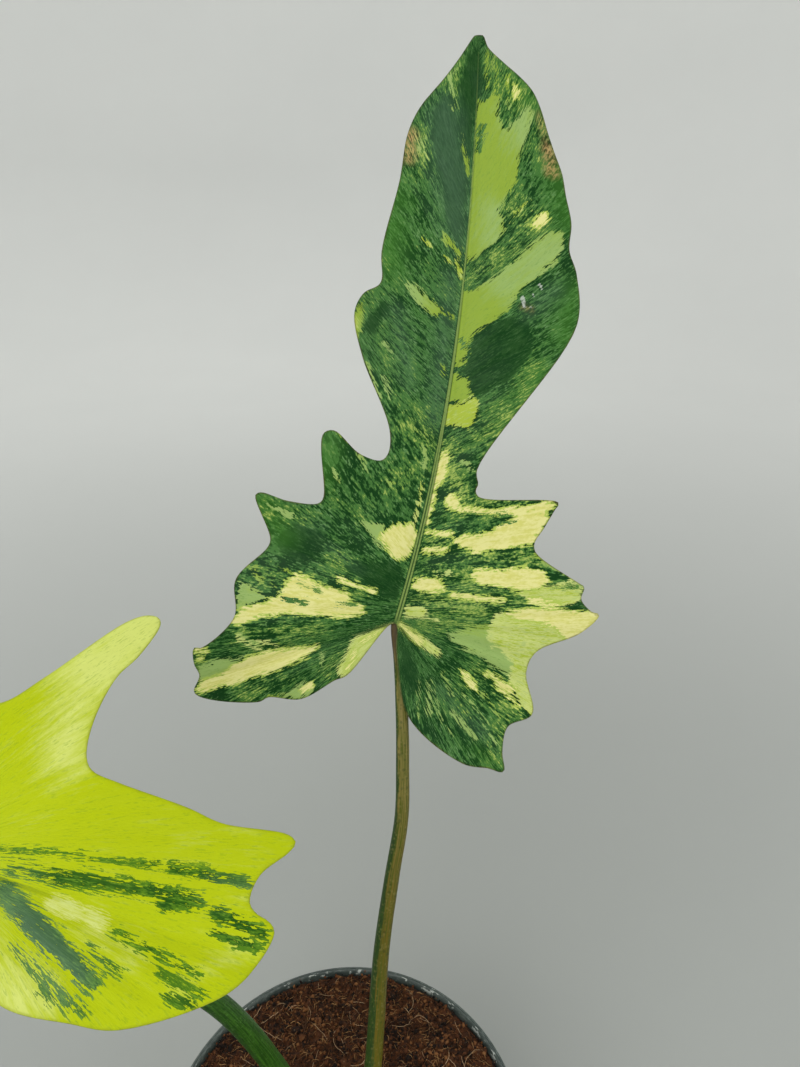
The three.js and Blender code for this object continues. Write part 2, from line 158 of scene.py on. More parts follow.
def colour(red, green, blue):
    """A colour given as 0 to 255, as a screen shows it, in the linear values that shaders use."""
    def linear(part):
        part = part / 255
        return part / 12.92 if part <= 0.04045 else ((part + 0.055) / 1.055) ** 2.4
    return (linear(red), linear(green), linear(blue), 1.0)


def new_material(name, *pieces):
    """Puts a material on pieces and gives its tree, to build the finish in."""
    material = bpy.data.materials.new(name)
    material.use_nodes = True
    for piece in pieces:
        piece.data.materials.append(material)
    return material.node_tree


def new_group(name, inputs, output):
    """An empty node group with number inputs, their usual values and one output."""
    group = bpy.data.node_groups.new(name, "ShaderNodeTree")
    for title, value in inputs.items():
        kind = "NodeSocketVector" if value is None else "NodeSocketFloat"
        socket = group.interface.new_socket(name=title, in_out="INPUT", socket_type=kind)
        if value is not None:
            socket.default_value = value
    group.interface.new_socket(name=output, in_out="OUTPUT", socket_type="NodeSocketFloat")
    entry = group.nodes.new("NodeGroupInput").outputs
    way_out = group.nodes.new("NodeGroupOutput").inputs[0]
    return group, entry, way_out


def use(tree, group, inputs):
    """Places a node group in a tree and gives its only output."""
    return put(tree, "ShaderNodeGroup", inputs, node_tree=group).outputs[0]


def finish_surface(tree, shade, rough, relief, depth, strength, specular=0.5):
    """Colour, roughness, shine and a fine relief, at most `depth` metres deep."""
    surface = tree.nodes["Principled BSDF"]
    bump = put(tree, "ShaderNodeBump", {"Height": relief, "Distance": depth, "Strength": strength})
    tree.links.new(shade, surface.inputs["Base Color"])
    tree.links.new(rough, surface.inputs["Roughness"])
    tree.links.new(bump.outputs[0], surface.inputs["Normal"])
    surface.inputs["Specular IOR Level"].default_value = specular


print("helpers ready")

# %% [markdown]
# ## Effects that several finishes share
#
# Leaf colours run in streaks along the veins, and so do the flecks along a petiole. The group
# **streaks** is noise that is stretched along one direction: it takes a place across the streaks
# and a place along them, in millimetres, and the width and length of a streak. The group
# **ragged patch** turns a soft field, which is 0.5 on a patch's outline, into a crisp patch whose
# edge follows such streaks. The group **specks** scatters small round spots, which serve as dust
# on plastic, pores on a petiole and pale grains in coir.

# %% Shared node groups
def make_streaks():
    group, entry, way_out = new_group(
        "streaks", {"Across": 0.0, "Along": 0.0, "Width": 1.0, "Length": 6.0, "Layer": 0.0}, "Streak")
    place = put(group, "ShaderNodeCombineXYZ", {
        "X": maths(group, "DIVIDE", entry["Across"], entry["Width"]),
        "Y": maths(group, "DIVIDE", entry["Along"], entry["Length"]),
        "Z": entry["Layer"],
    }).outputs[0]
    soft = clouds(group, place, 1.0, 3.0, 0.6)
    group.links.new(ramped(group, soft, 0.24, 0.76), way_out)
    return group


def make_ragged_patch():
    group, entry, way_out = new_group(
        "ragged patch", {"Field": 0.0, "Streak": 0.5, "Reach": 0.6, "Softness": 0.03}, "Mask")
    push = times(group, maths(group, "SUBTRACT", entry["Streak"], 0.5), entry["Reach"])
    value = maths(group, "ADD", entry["Field"], push)
    low = maths(group, "SUBTRACT", 0.5, entry["Softness"])
    high = maths(group, "ADD", 0.5, entry["Softness"])
    group.links.new(ramped(group, value, low, high), way_out)
    return group


def make_specks():
    group, entry, way_out = new_group(
        "specks", {"Place": None, "Spacing": 0.004, "Size": 0.2, "Softness": 0.05}, "Mask")
    spots = put(group, "ShaderNodeTexVoronoi", {
        "Vector": entry["Place"], "Scale": maths(group, "DIVIDE", 1.0, entry["Spacing"]),
    }, feature="F1").outputs["Distance"]
    size = times(group, entry["Size"], clouds(group, entry["Place"], 300.0))
    inner = maths(group, "SUBTRACT", size, entry["Softness"])
    outer = maths(group, "ADD", size, entry["Softness"])
    group.links.new(ramped(group, spots, inner, outer, 1.0, 0.0), way_out)
    return group


STREAKS = make_streaks()
RAGGED_PATCH = make_ragged_patch()
SPECKS = make_specks()


def streaked(tree, across, along, width, length, layer=0.0):
    return use(tree, STREAKS, {
        "Across": across, "Along": along, "Width": width, "Length": length, "Layer": layer})


def ragged(tree, field, streak, reach, softness):
    return use(tree, RAGGED_PATCH, {
        "Field": field, "Streak": streak, "Reach": reach, "Softness": softness})


def specked(tree, place, spacing, size, softness):
    return use(tree, SPECKS, {
        "Place": place, "Spacing": spacing, "Size": size, "Softness": softness})


print("groups:", [group.name for group in bpy.data.node_groups])

# %% [markdown]
# ## Smooth curves and new pieces
#
# The outlines of the leaves and the paths of the petioles are given by a few points. A curve that
# passes through all of them, with tangents that respect uneven spacing, joins them without
# overshooting at the lobes' tips. `new_piece` turns points in millimetres into a smooth mesh that
# rides with the plant and stands for its plain solid.

# %% Curves and pieces
CURVE_SHARES = np.arange(12) / 12


def between(before, start, end, after, share):
    """A point on the smooth curve from start to end."""
    gaps = [max(np.linalg.norm(b - a) ** 0.5, 1e-4)
            for a, b in ((before, start), (start, end), (end, after))]
    leave = (start - before) / gaps[0] - (end - before) / (gaps[0] + gaps[1]) + (end - start) / gaps[1]
    arrive = (end - start) / gaps[1] - (after - start) / (gaps[1] + gaps[2]) + (after - end) / gaps[2]
    leave, arrive = leave * gaps[1], arrive * gaps[1]
    square = 3 * (end - start) - 2 * leave - arrive
    cube = 2 * (start - end) + leave + arrive
    return start + share * (leave + share * (square + share * cube))


def smooth_curve(points, step, closed=False):
    """Points at nearly even steps along a smooth curve through the given ones."""
    points = np.array(points, float)
    if closed:
        points = np.vstack([points[-1], points, points[:2]])
    else:
        points = np.vstack([2 * points[0] - points[1], points, 2 * points[-1] - points[-2]])
    dense = [between(*points[i:i + 4], share)
             for i in range(len(points) - 3) for share in CURVE_SHARES]
    dense = np.array([*dense, points[-2]])
    gaps = np.linalg.norm(np.diff(dense, axis=0), axis=1)
    reach = np.concatenate([[0], np.cumsum(gaps)])
    places = np.linspace(0, reach[-1], max(4, round(reach[-1] / step)), endpoint=not closed)
    return np.stack([np.interp(places, reach, axis) for axis in dense.T], axis=1)


def soft_step(low, high, value):
    share = np.clip((np.asarray(value, float) - low) / (high - low), 0, 1)
    return share * share * (3 - 2 * share)


def bearing(degrees):
    """How far one step in a direction leads to the right and up."""
    return math.cos(math.radians(degrees)), math.sin(math.radians(degrees))


def new_piece(name, points, faces, slot, node=None):
    """A smooth mesh of points in millimetres, which stands for a plain solid if one is named."""
    mesh = bpy.data.meshes.new(name)
    mesh.from_pydata((np.asarray(points, float) * MM).tolist(), [], [list(face) for face in faces])
    mesh.shade_smooth()
    piece = add_object(name, mesh)
    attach(piece, "root")
    if node:
        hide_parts(node)
    print(name, "has", len(mesh.vertices), "points and", len(mesh.polygons), "faces")
    return piece


def apply_modifiers(piece):
    """Gives a piece the mesh that its modifiers make of it."""
    shaped = bpy.data.meshes.new_from_object(piece.evaluated_get(bpy.context.evaluated_depsgraph_get()))
    piece.modifiers.clear()
    piece.data = shaped
    return shaped


def keep_on(piece, **numbers):
    """Keeps numbers at the mesh's points, for the finish to read."""
    for name, values in numbers.items():
        attribute = piece.data.attributes.new(name, "FLOAT", "POINT")
        attribute.data.foreach_set("value", np.asarray(values, np.float32))


def rings_to_faces(rings, sides, closed_ends=False):
    """Faces between rings of points, each with the same number of sides."""
    faces = []
    for ring in range(rings - 1):
        for side in range(sides):
            here, there = ring * sides + side, ring * sides + (side + 1) % sides
            faces.append((here, there, there + sides, here + sides))
    if closed_ends:
        faces.append(tuple(range(sides))[::-1])
        faces.append(tuple(range((rings - 1) * sides, rings * sides)))
    return faces


def shifted(faces, start):
    """The same faces for points that come later in a list."""
    return [tuple(start + index for index in face) for face in faces]


print("curves and pieces ready")

# %% [markdown]
# ## The shape of a blade
#
# Each blade is a sheet about half a millimetre thick. It could be a flat cut-out bent by
# modifiers, or a sculpted grid, but its outline has deep narrow bays, so here it is a net of
# small triangles inside a smooth outline, lifted by one formula. Places on a blade are given as
# [across, along] in millimetres from the point where it meets its petiole. The formula gives the
# arch from joint to tip, the furrow over the midrib and the two basal ribs, the rolled sides and
# the slow wave of the edges. The plain solids were shaped by the same formula with a slightly
# straighter midrib, so the two agree to within a millimetre.

# %% Measures of the two blades
MAIN_PLACE = {"joint": (17.3, 65.6, 256.6), "aim": (45.6, 163.2, 431.1), "facing": (0, -0.87, 0.49)}
SECOND_PLACE = {
    "joint": (-71.4, -47.2, 274.7), "aim": (-164.8, 60, 371.5), "facing": (0.3, -0.48, 0.82),
}

# Clockwise from the tip: right side, right basal lobe, joint, left basal lobe, left side
MAIN_EDGE = [
    (1.2, 202.2), (2, 200.6), (3.6, 197), (9.6, 190.9), (15, 186.2),
    (20.1, 181), (23.6, 175), (27, 167), (30, 160), (33, 152.5), (35, 143),
    (37.5, 133.5), (38, 125), (41.5, 118), (44, 102.5), (18.5, 51.5), (19.5, 47),
    (19, 45), (20.5, 43), (46, 45), (45, 42.5), (42.5, 36.5), (40, 31), (41, 28), (55.5, 20.5),
    (57.5, 19.5), (57, 15.5), (61, 12), (63.5, 11.5), (58.5, 5), (45.5, -3), (43.5, -10),
    (47.5, -23), (40, -28), (39, -36), (40, -41.5), (35, -41), (26.5, -40.5), (8.5, -29.5),
    (1.5, -9.5), (0, -0.5),
    (-2, -1), (-13.5, -19), (-17, -21), (-27, -28.5), (-37.5, -29.5), (-40.5, -31.5), (-62, -32),
    (-61, -26), (-63, -22.5), (-63.5, -17.5), (-61, -17), (-51.5, -5.5),
    (-53, 6.5), (-44.5, 18), (-44, 21), (-50.5, 34), (-49, 35), (-40, 33.5), (-30, 34),
    (-28.5, 36), (-31, 55.5), (-28, 57), (-19, 51), (-12, 50), (-10, 52.5),
    (-10.5, 60), (-22.5, 82.5), (-27, 96), (-25, 102), (-20, 106), (-21, 116), (-19, 143),
    (-18.8, 158), (-17.3, 165), (-15.2, 170.5),
    (-12.6, 175.6), (-9.6, 181.5), (-5.4, 191), (-2.7, 198.4), (-1.8, 200.8), (-1.1, 202),
]
SECOND_EDGE = [
    (1, 172), (5, 166), (14, 152), (24, 132), (29, 112), (29, 94), (25, 76), (18, 58),
    (13.5, 44), (12.5, 34), (14, 26),
    (22, 21), (32, 23), (54, 30), (59, 30), (61, 28.5), (60.5, 26.5), (52, 20), (45, 16.5),
    (36, 8), (32, 1.5), (32, -1.5), (35.5, -6), (46, -17), (51, -23), (63, -32), (63.5, -34),
    (61, -35), (53, -36),
    (48.5, -39.5), (48.5, -42), (50, -45), (50, -47), (45, -50), (36.5, -51.5), (18, -46),
    (11.5, -40.5), (3, -31.5), (-0.5, -16), (0, -5), (-1, -1),
    (-4, -4), (-9, -13), (-15, -24), (-25, -35), (-38, -42), (-48, -43.5), (-52, -42),
    (-50, -37.5), (-49, -34), (-58, -26), (-61, -22), (-59, -18),
    (-42, -2), (-37, 5), (-37, 12), (-50, 28), (-54, 34), (-52, 36.5), (-32, 30), (-22, 28.5),
    (-16.5, 31), (-15, 37),
    (-16, 46), (-28, 82), (-30, 96), (-27, 108), (-25, 118), (-25, 132), (-20, 148),
    (-11, 161), (-3, 169), (-1, 172),
]
MAIN_FORM = {
    "length": 202, "bow": 6.6, "ribs": (205, -46), "arch": 9, "droop": 0, "lift": 0.1,
    "roll": 0.0018, "wave": 2.4, "wavelength": 62, "phases": (0.6, 2.4), "cups": (0.0042, 0.003),
}
SECOND_FORM = {
    "length": 172, "bow": -5, "ribs": (222, -49), "arch": 0, "droop": 26, "lift": 0.08,
    "roll": 0.0024, "wave": 1.8, "wavelength": 66, "phases": (1.4, 3), "cups": (0, 0),
}
FURROW_DEPTH = 2
FURROW_REACH = 5
print("main blade", MAIN_FORM["length"], "mm, second blade", SECOND_FORM["length"], "mm")


# %% Formulas of a blade
def midrib(along, form):
    share = np.clip(along / form["length"], 0, 1)
    return form["bow"] * 4 * share * (1 - share) * (1.2 - 0.5 * share)


def right_of_midrib(places, form):
    return places[:, 0] > np.where(places[:, 1] > 0, midrib(places[:, 1], form), 0)


def off_midrib(points, form):
    """How far each place is from the midrib, or from the joint if it lies below that."""
    beside = abs(points[:, 0] - midrib(points[:, 1], form))
    return np.where(points[:, 1] > 0, beside, np.hypot(points[:, 0], points[:, 1]))


def rib_distance(across, along, form):
    """How far each place is from the midrib or the nearer basal rib."""
    from_joint = np.hypot(across, along)
    least = np.where(along >= 0, abs(across - midrib(along, form)), from_joint)
    for degrees in form["ribs"]:
        right, up = bearing(degrees)
        out = across * right + along * up
        least = np.minimum(least, np.where(out > 0, abs(along * right - across * up), from_joint))
    return least


def face_height(across, along, form):
    share = along / form["length"]
    off = across - midrib(along, form)
    side = abs(off)
    arch = form["arch"] * np.where(share > 0, np.sin(np.pi * np.minimum(share, 1)), np.pi * share)
    droop = -form["droop"] * share ** 2 * np.where(share > 0, 1, 0.23)
    furrow = FURROW_DEPTH * (1 - np.exp(-rib_distance(across, along, form) / FURROW_REACH))
    section = form["lift"] * side - form["roll"] * side ** 2
    phase = TURN * along / form["wavelength"] + np.where(off > 0, *form["phases"])
    wave = form["wave"] * soft_step(8, 34, side) * np.sin(phase)
    cup = np.where(across > 0, *form["cups"]) * np.minimum(along, 0) ** 2
    return arch + droop + furrow + section + wave + cup


def blade_axes(place):
    """The blade's own directions: across to its right, along to its tip, and out of its face."""
    joint = np.array(place["joint"], float)
    along = np.array(place["aim"]) - joint
    along /= np.linalg.norm(along)
    right = np.cross(along, place["facing"])
    right /= np.linalg.norm(right)
    return joint, right, along, np.cross(right, along)


def on_blade(across, along, height, place):
    """Places on a blade as points of the plant."""
    joint, right, up, out = blade_axes(place)
    return joint + np.outer(across, right) + np.outer(along, up) + np.outer(height, out)


print("height of the main blade at its waist:", float(face_height(5.0, 50.0, MAIN_FORM)), "mm")

# %% [markdown]
# ## Veins
#
# Side veins leave the midrib, curve towards the edge and end in the lobes, and below the joint
# they fan out. All the streaks of colour follow them, so they come first. One vein in every
# 15 mm or so is given by three places: its root, its bend and its end. All the veins between two
# of those are blends of the two. For each point of the blade the search below finds the vein that
# runs through it, and how far along that vein it lies. Those two numbers are the coordinates in
# which the streaks are later drawn.

# %% Guide veins
# Each vein: the height of its root on the midrib, its bend and its end, from the tip downwards
MAIN_VEINS = {
    "right": [
        (197, (3, 201), (3, 207)), (176, (6, 190), (8, 203)), (150, (13, 166), (19, 187)),
        (121, (16, 138), (25, 178)), (110, (20, 121), (40, 148)), (97, (18, 109), (43, 134)),
        (83, (20, 93), (46, 116)), (68, (20, 76), (46, 98)), (52, (12, 55), (26, 66)),
        (29, (20, 39), (49, 47)), (11, (25, 18), (61, 21)), (2, (30, 5), (67, 12)),
        (0, (20, -2), (49, -8)), (0, (20, -9), (50, -24)), (0, (17, -18), (42, -44)),
        (0, (8, -18), (27, -43)), (0, (3, -12), (9, -32)), (0, (1, -5), (1, -11)),
    ],
    "left": [
        (198, (0, 201), (-2, 206)), (176, (-1, 187), (-5, 200)), (151, (-2, 168), (-10, 188)),
        (130, (-7, 146), (-19, 170)), (113, (-7, 126), (-21, 148)), (98, (-8, 106), (-26, 126)),
        (84, (-8, 92), (-29, 110)), (70, (-8, 78), (-29, 100)), (55, (-4, 61), (-18, 78)),
        (23, (-16, 37), (-33, 60)), (10, (-20, 21), (-54, 37)), (5, (-24, 6), (-57, 10)),
        (0, (-25, -6), (-66, -18)), (0, (-25, -12), (-66, -31)), (0, (-18, -14), (-41, -35)),
        (0, (-8, -10), (-18, -24)), (0, (-1, -3), (-4, -7)),
    ],
}
SECOND_VEINS = {
    "right": [
        (169, (1, 173), (1, 178)), (150, (4, 160), (9, 169)), (125, (6, 138), (19, 153)),
        (100, (8, 112), (28, 134)), (76, (9, 88), (33, 110)), (52, (7, 62), (29, 86)),
        (32, (6, 40), (17, 56)), (14, (20, 20), (63, 32)), (4, (20, 8), (54, 20)),
        (0, (18, 0), (38, 0)), (0, (22, -9), (66, -34)), (0, (19, -16), (53, -45)),
        (0, (17, -22), (38, -54)), (0, (10, -20), (19, -49)), (0, (4, -14), (4, -35)),
        (0, (0, -8), (-1, -18)),
    ],
    "left": [
        (169, (-1, 173), (-3, 178)), (150, (-8, 158), (-15, 167)), (125, (-12, 136), (-25, 152)),
        (100, (-14, 110), (-30, 128)), (76, (-14, 86), (-33, 104)), (52, (-12, 62), (-29, 84)),
        (34, (-8, 40), (-18, 51)), (16, (-22, 22), (-56, 38)), (4, (-20, 8), (-42, 10)),
        (0, (-24, -8), (-64, -21)), (0, (-24, -18), (-56, -36)), (0, (-20, -22), (-54, -45)),
        (0, (-12, -18), (-27, -40)), (0, (-5, -9), (-13, -22)), (0, (-1, -4), (-4, -7)),
    ],
}
VEIN_GAP = 12
VEIN_STEP, SHARE_STEP, SHARE_END = 0.1, 0.0125, 1.2
SMALL_STEP = 0.01
print("guide veins:", sum(len(side) for veins in (MAIN_VEINS, SECOND_VEINS) for side in veins.values()))


# %% Finding the vein through each point
def vein_point(guides, number, share):
    """The point at a share of the way along a vein, whose number may lie between two guides."""
    first = np.clip(np.floor(number).astype(int), 0, len(guides) - 2)
    part = (number - first)[:, None, None]
    root, bend, end = np.moveaxis(guides[first] * (1 - part) + guides[first + 1] * part, 1, 0)
    share = share[:, None]
    return root * (1 - share) ** 2 + 2 * bend * share * (1 - share) + end * share ** 2


def follow_veins(points, guides):
    """The vein's number, the share of the way along it and the gap to the next guide in mm."""
    numbers = np.arange(0, len(guides) - 0.95, VEIN_STEP)
    numbers, shares = np.meshgrid(numbers, np.arange(0, SHARE_END, SHARE_STEP))
    numbers, shares = np.minimum(numbers.ravel(), len(guides) - 1), shares.ravel()
    samples = vein_point(guides, numbers, shares)
    tree = KDTree(len(samples))
    for index, (x, y) in enumerate(samples):
        tree.insert((x, y, 0), index)
    tree.balance()
    nearest = np.array([tree.find((x, y, 0))[1] for x, y in points])
    number, share = numbers[nearest], shares[nearest]
    for _ in range(3):
        here = vein_point(guides, number, share)
        aside = (vein_point(guides, number + SMALL_STEP, share) - here) / SMALL_STEP
        onward = (vein_point(guides, number, share + SMALL_STEP) - here) / SMALL_STEP
        miss = points - here
        area = aside[:, 0] * onward[:, 1] - aside[:, 1] * onward[:, 0]
        area = np.where(abs(area) < 1, np.copysign(1, area), area)
        step = (miss[:, 0] * onward[:, 1] - miss[:, 1] * onward[:, 0]) / area
        run = (aside[:, 0] * miss[:, 1] - aside[:, 1] * miss[:, 0]) / area
        number = np.clip(number + np.clip(step, -0.05, 0.05), 0, len(guides) - 1.01)
        share = np.clip(share + np.clip(run, -0.01, 0.01), 0, SHARE_END)
    length = np.linalg.norm(onward, axis=1)
    return number, share, abs(area) / np.maximum(length, 1)


def vein_places(points, veins, form):
    """Where each point lies among the veins, and on which side of the midrib."""
    right = right_of_midrib(points, form)
    number, share, gap = (np.zeros(len(points)) for _ in range(3))
    length = np.ones(len(points))
    for side, chosen in (("right", right), ("left", ~right)):
        guides = np.array([[(midrib(root, form), root), bend, end] for root, bend, end in veins[side]])
        number[chosen], share[chosen], gap[chosen] = follow_veins(points[chosen], guides)
        reach = np.linalg.norm(guides[:, 2] - guides[:, 0], axis=1)
        length[chosen] = np.interp(number[chosen], np.arange(len(guides)), reach)
    return {"number": number, "run": share * length, "gap": gap, "left": 1.0 - right}


print("vein search ready")

# %% [markdown]
# ## The net of a blade
#
# Triangles of about 1.2 mm are small enough for the waved edge and the shallow grooves over the
# side veins. A finer band of points follows the midrib, which is a raised line in its furrow. The
# triangulation keeps the outline and fills its inside. The back is the same net, set behind the
# face by the blade's thickness, which grows over the midrib and thins towards the edge. A ring of
# points half way between the two rounds the edge off.

# %% Net, thickness and relief
NET_STEP = 1.25
EDGE_STEP = 1.0
RIB_ROWS = (-2.4, -1.9, -1.4, -1.0, -0.6, -0.3, 0, 0.3, 0.6, 1.0, 1.4, 1.9, 2.4)
RIB_ROW_STEP, RIB_TOP_GAP = 1.4, 6
POINT_GAP = 0.5
RIB_DEPTH, RIB_START = 2.6, 3.3
EDGE_THICKNESS, MORE_INSIDE, EDGE_ROUNDING = 0.34, 0.26, 0.16
GROOVE_DEPTH, GROOVE_WIDTH, PILLOW_RISE = 0.22, 0.8, 0.16
RIDGE_WIDTH, RIDGE_HEIGHT, SIDE_DIP = 0.95, 0.5, 0.3


def within(points, outline):
    """Whether each point lies inside a closed outline, and its distance from it."""
    inside, near = np.zeros(len(points), bool), np.full(len(points), 1e9)
    x, y = points.T
    for (ax, ay), (bx, by) in zip(outline, np.roll(outline, -1, axis=0)):
        rise = by - ay if by != ay else 1e-9
        inside ^= ((ay > y) != (by > y)) & (x < ax + (bx - ax) * (y - ay) / rise)
        square = max((bx - ax) ** 2 + (by - ay) ** 2, 1e-9)
        share = np.clip(((x - ax) * (bx - ax) + (y - ay) * (by - ay)) / square, 0, 1)
        near = np.minimum(near, np.hypot(x - ax - share * (bx - ax), y - ay - share * (by - ay)))
    return inside, near


def net_points(outline, form):
    low, high = outline.min(0), outline.max(0)
    net = np.array([(x + row % 2 * NET_STEP / 2, y)
                    for row, y in enumerate(np.arange(low[1], high[1], NET_STEP * math.sqrt(0.75)))
                    for x in np.arange(low[0], high[0], NET_STEP)])
    off = abs(net[:, 0] - midrib(net[:, 1], form))
    rib_top = form["length"] - RIB_TOP_GAP
    net = net[(off > RIB_ROWS[-1] + POINT_GAP) | (net[:, 1] < 0) | (net[:, 1] > rib_top)]
    rows = [(midrib(y, form) + off, y) for y in np.arange(0.6, rib_top, RIB_ROW_STEP) for off in RIB_ROWS]
    points = np.vstack([net, rows])
    inside, near = within(points, outline)
    return points[inside & (near > POINT_GAP)]


def blade_net(edge, form):
    outline = smooth_curve(edge, EDGE_STEP, closed=True)
    every = np.vstack([outline, net_points(outline, form)])
    made = delaunay_2d_cdt([Vector(p) for p in every], [], [list(range(len(outline)))], 1, 1e-5)
    points, triangles = np.array([tuple(p) for p in made[0]]), np.array(made[2])
    first, second, third = (points[triangles[:, i]] for i in range(3))
    turn = np.cross(second - first, third - first)
    triangles = np.where((turn > 0)[:, None], triangles, triangles[:, ::-1])[abs(turn) > 1e-6]
    return outline, points, triangles


def vein_relief(points, places, near, form):
    """Shallow grooves over the side veins, soft pillows between them, and the raised midrib."""
    off = off_midrib(points, form)
    phase = places["number"] * 2
    beside = abs(phase - np.round(phase)) / 2 * np.maximum(places["gap"], 2)
    fade = soft_step(2, 7, off) * soft_step(0, 6, near) * soft_step(3, 9, places["gap"])
    grooves = -GROOVE_DEPTH * np.exp(-(beside / GROOVE_WIDTH) ** 2)
    pillows = PILLOW_RISE * (1 - np.cos(TURN * phase))
    share = np.clip(points[:, 1] / form["length"], 0, 1)
    width = RIDGE_WIDTH - 0.5 * share
    ridge = RIDGE_HEIGHT * np.exp(-(off / width) ** 2)
    ridge = ridge - SIDE_DIP * np.exp(-((off - 1.9 * width) / (0.6 * width)) ** 2)
    return fade * (grooves + pillows) + ridge * (1 - 0.6 * share) * soft_step(-2, 1, points[:, 1])


def blade_depth(points, near, form):
    off = abs(points[:, 0] - midrib(points[:, 1], form))
    rib = RIB_DEPTH * (1 - 0.85 * soft_step(0, form["length"], points[:, 1]))
    rib = rib * soft_step(RIB_START - 2.5, RIB_START + 1, points[:, 1]) * (1 - soft_step(0.5, 2.3, off))
    return EDGE_THICKNESS + MORE_INSIDE * soft_step(0, 4, near) + rib


print("net step", NET_STEP, "mm")
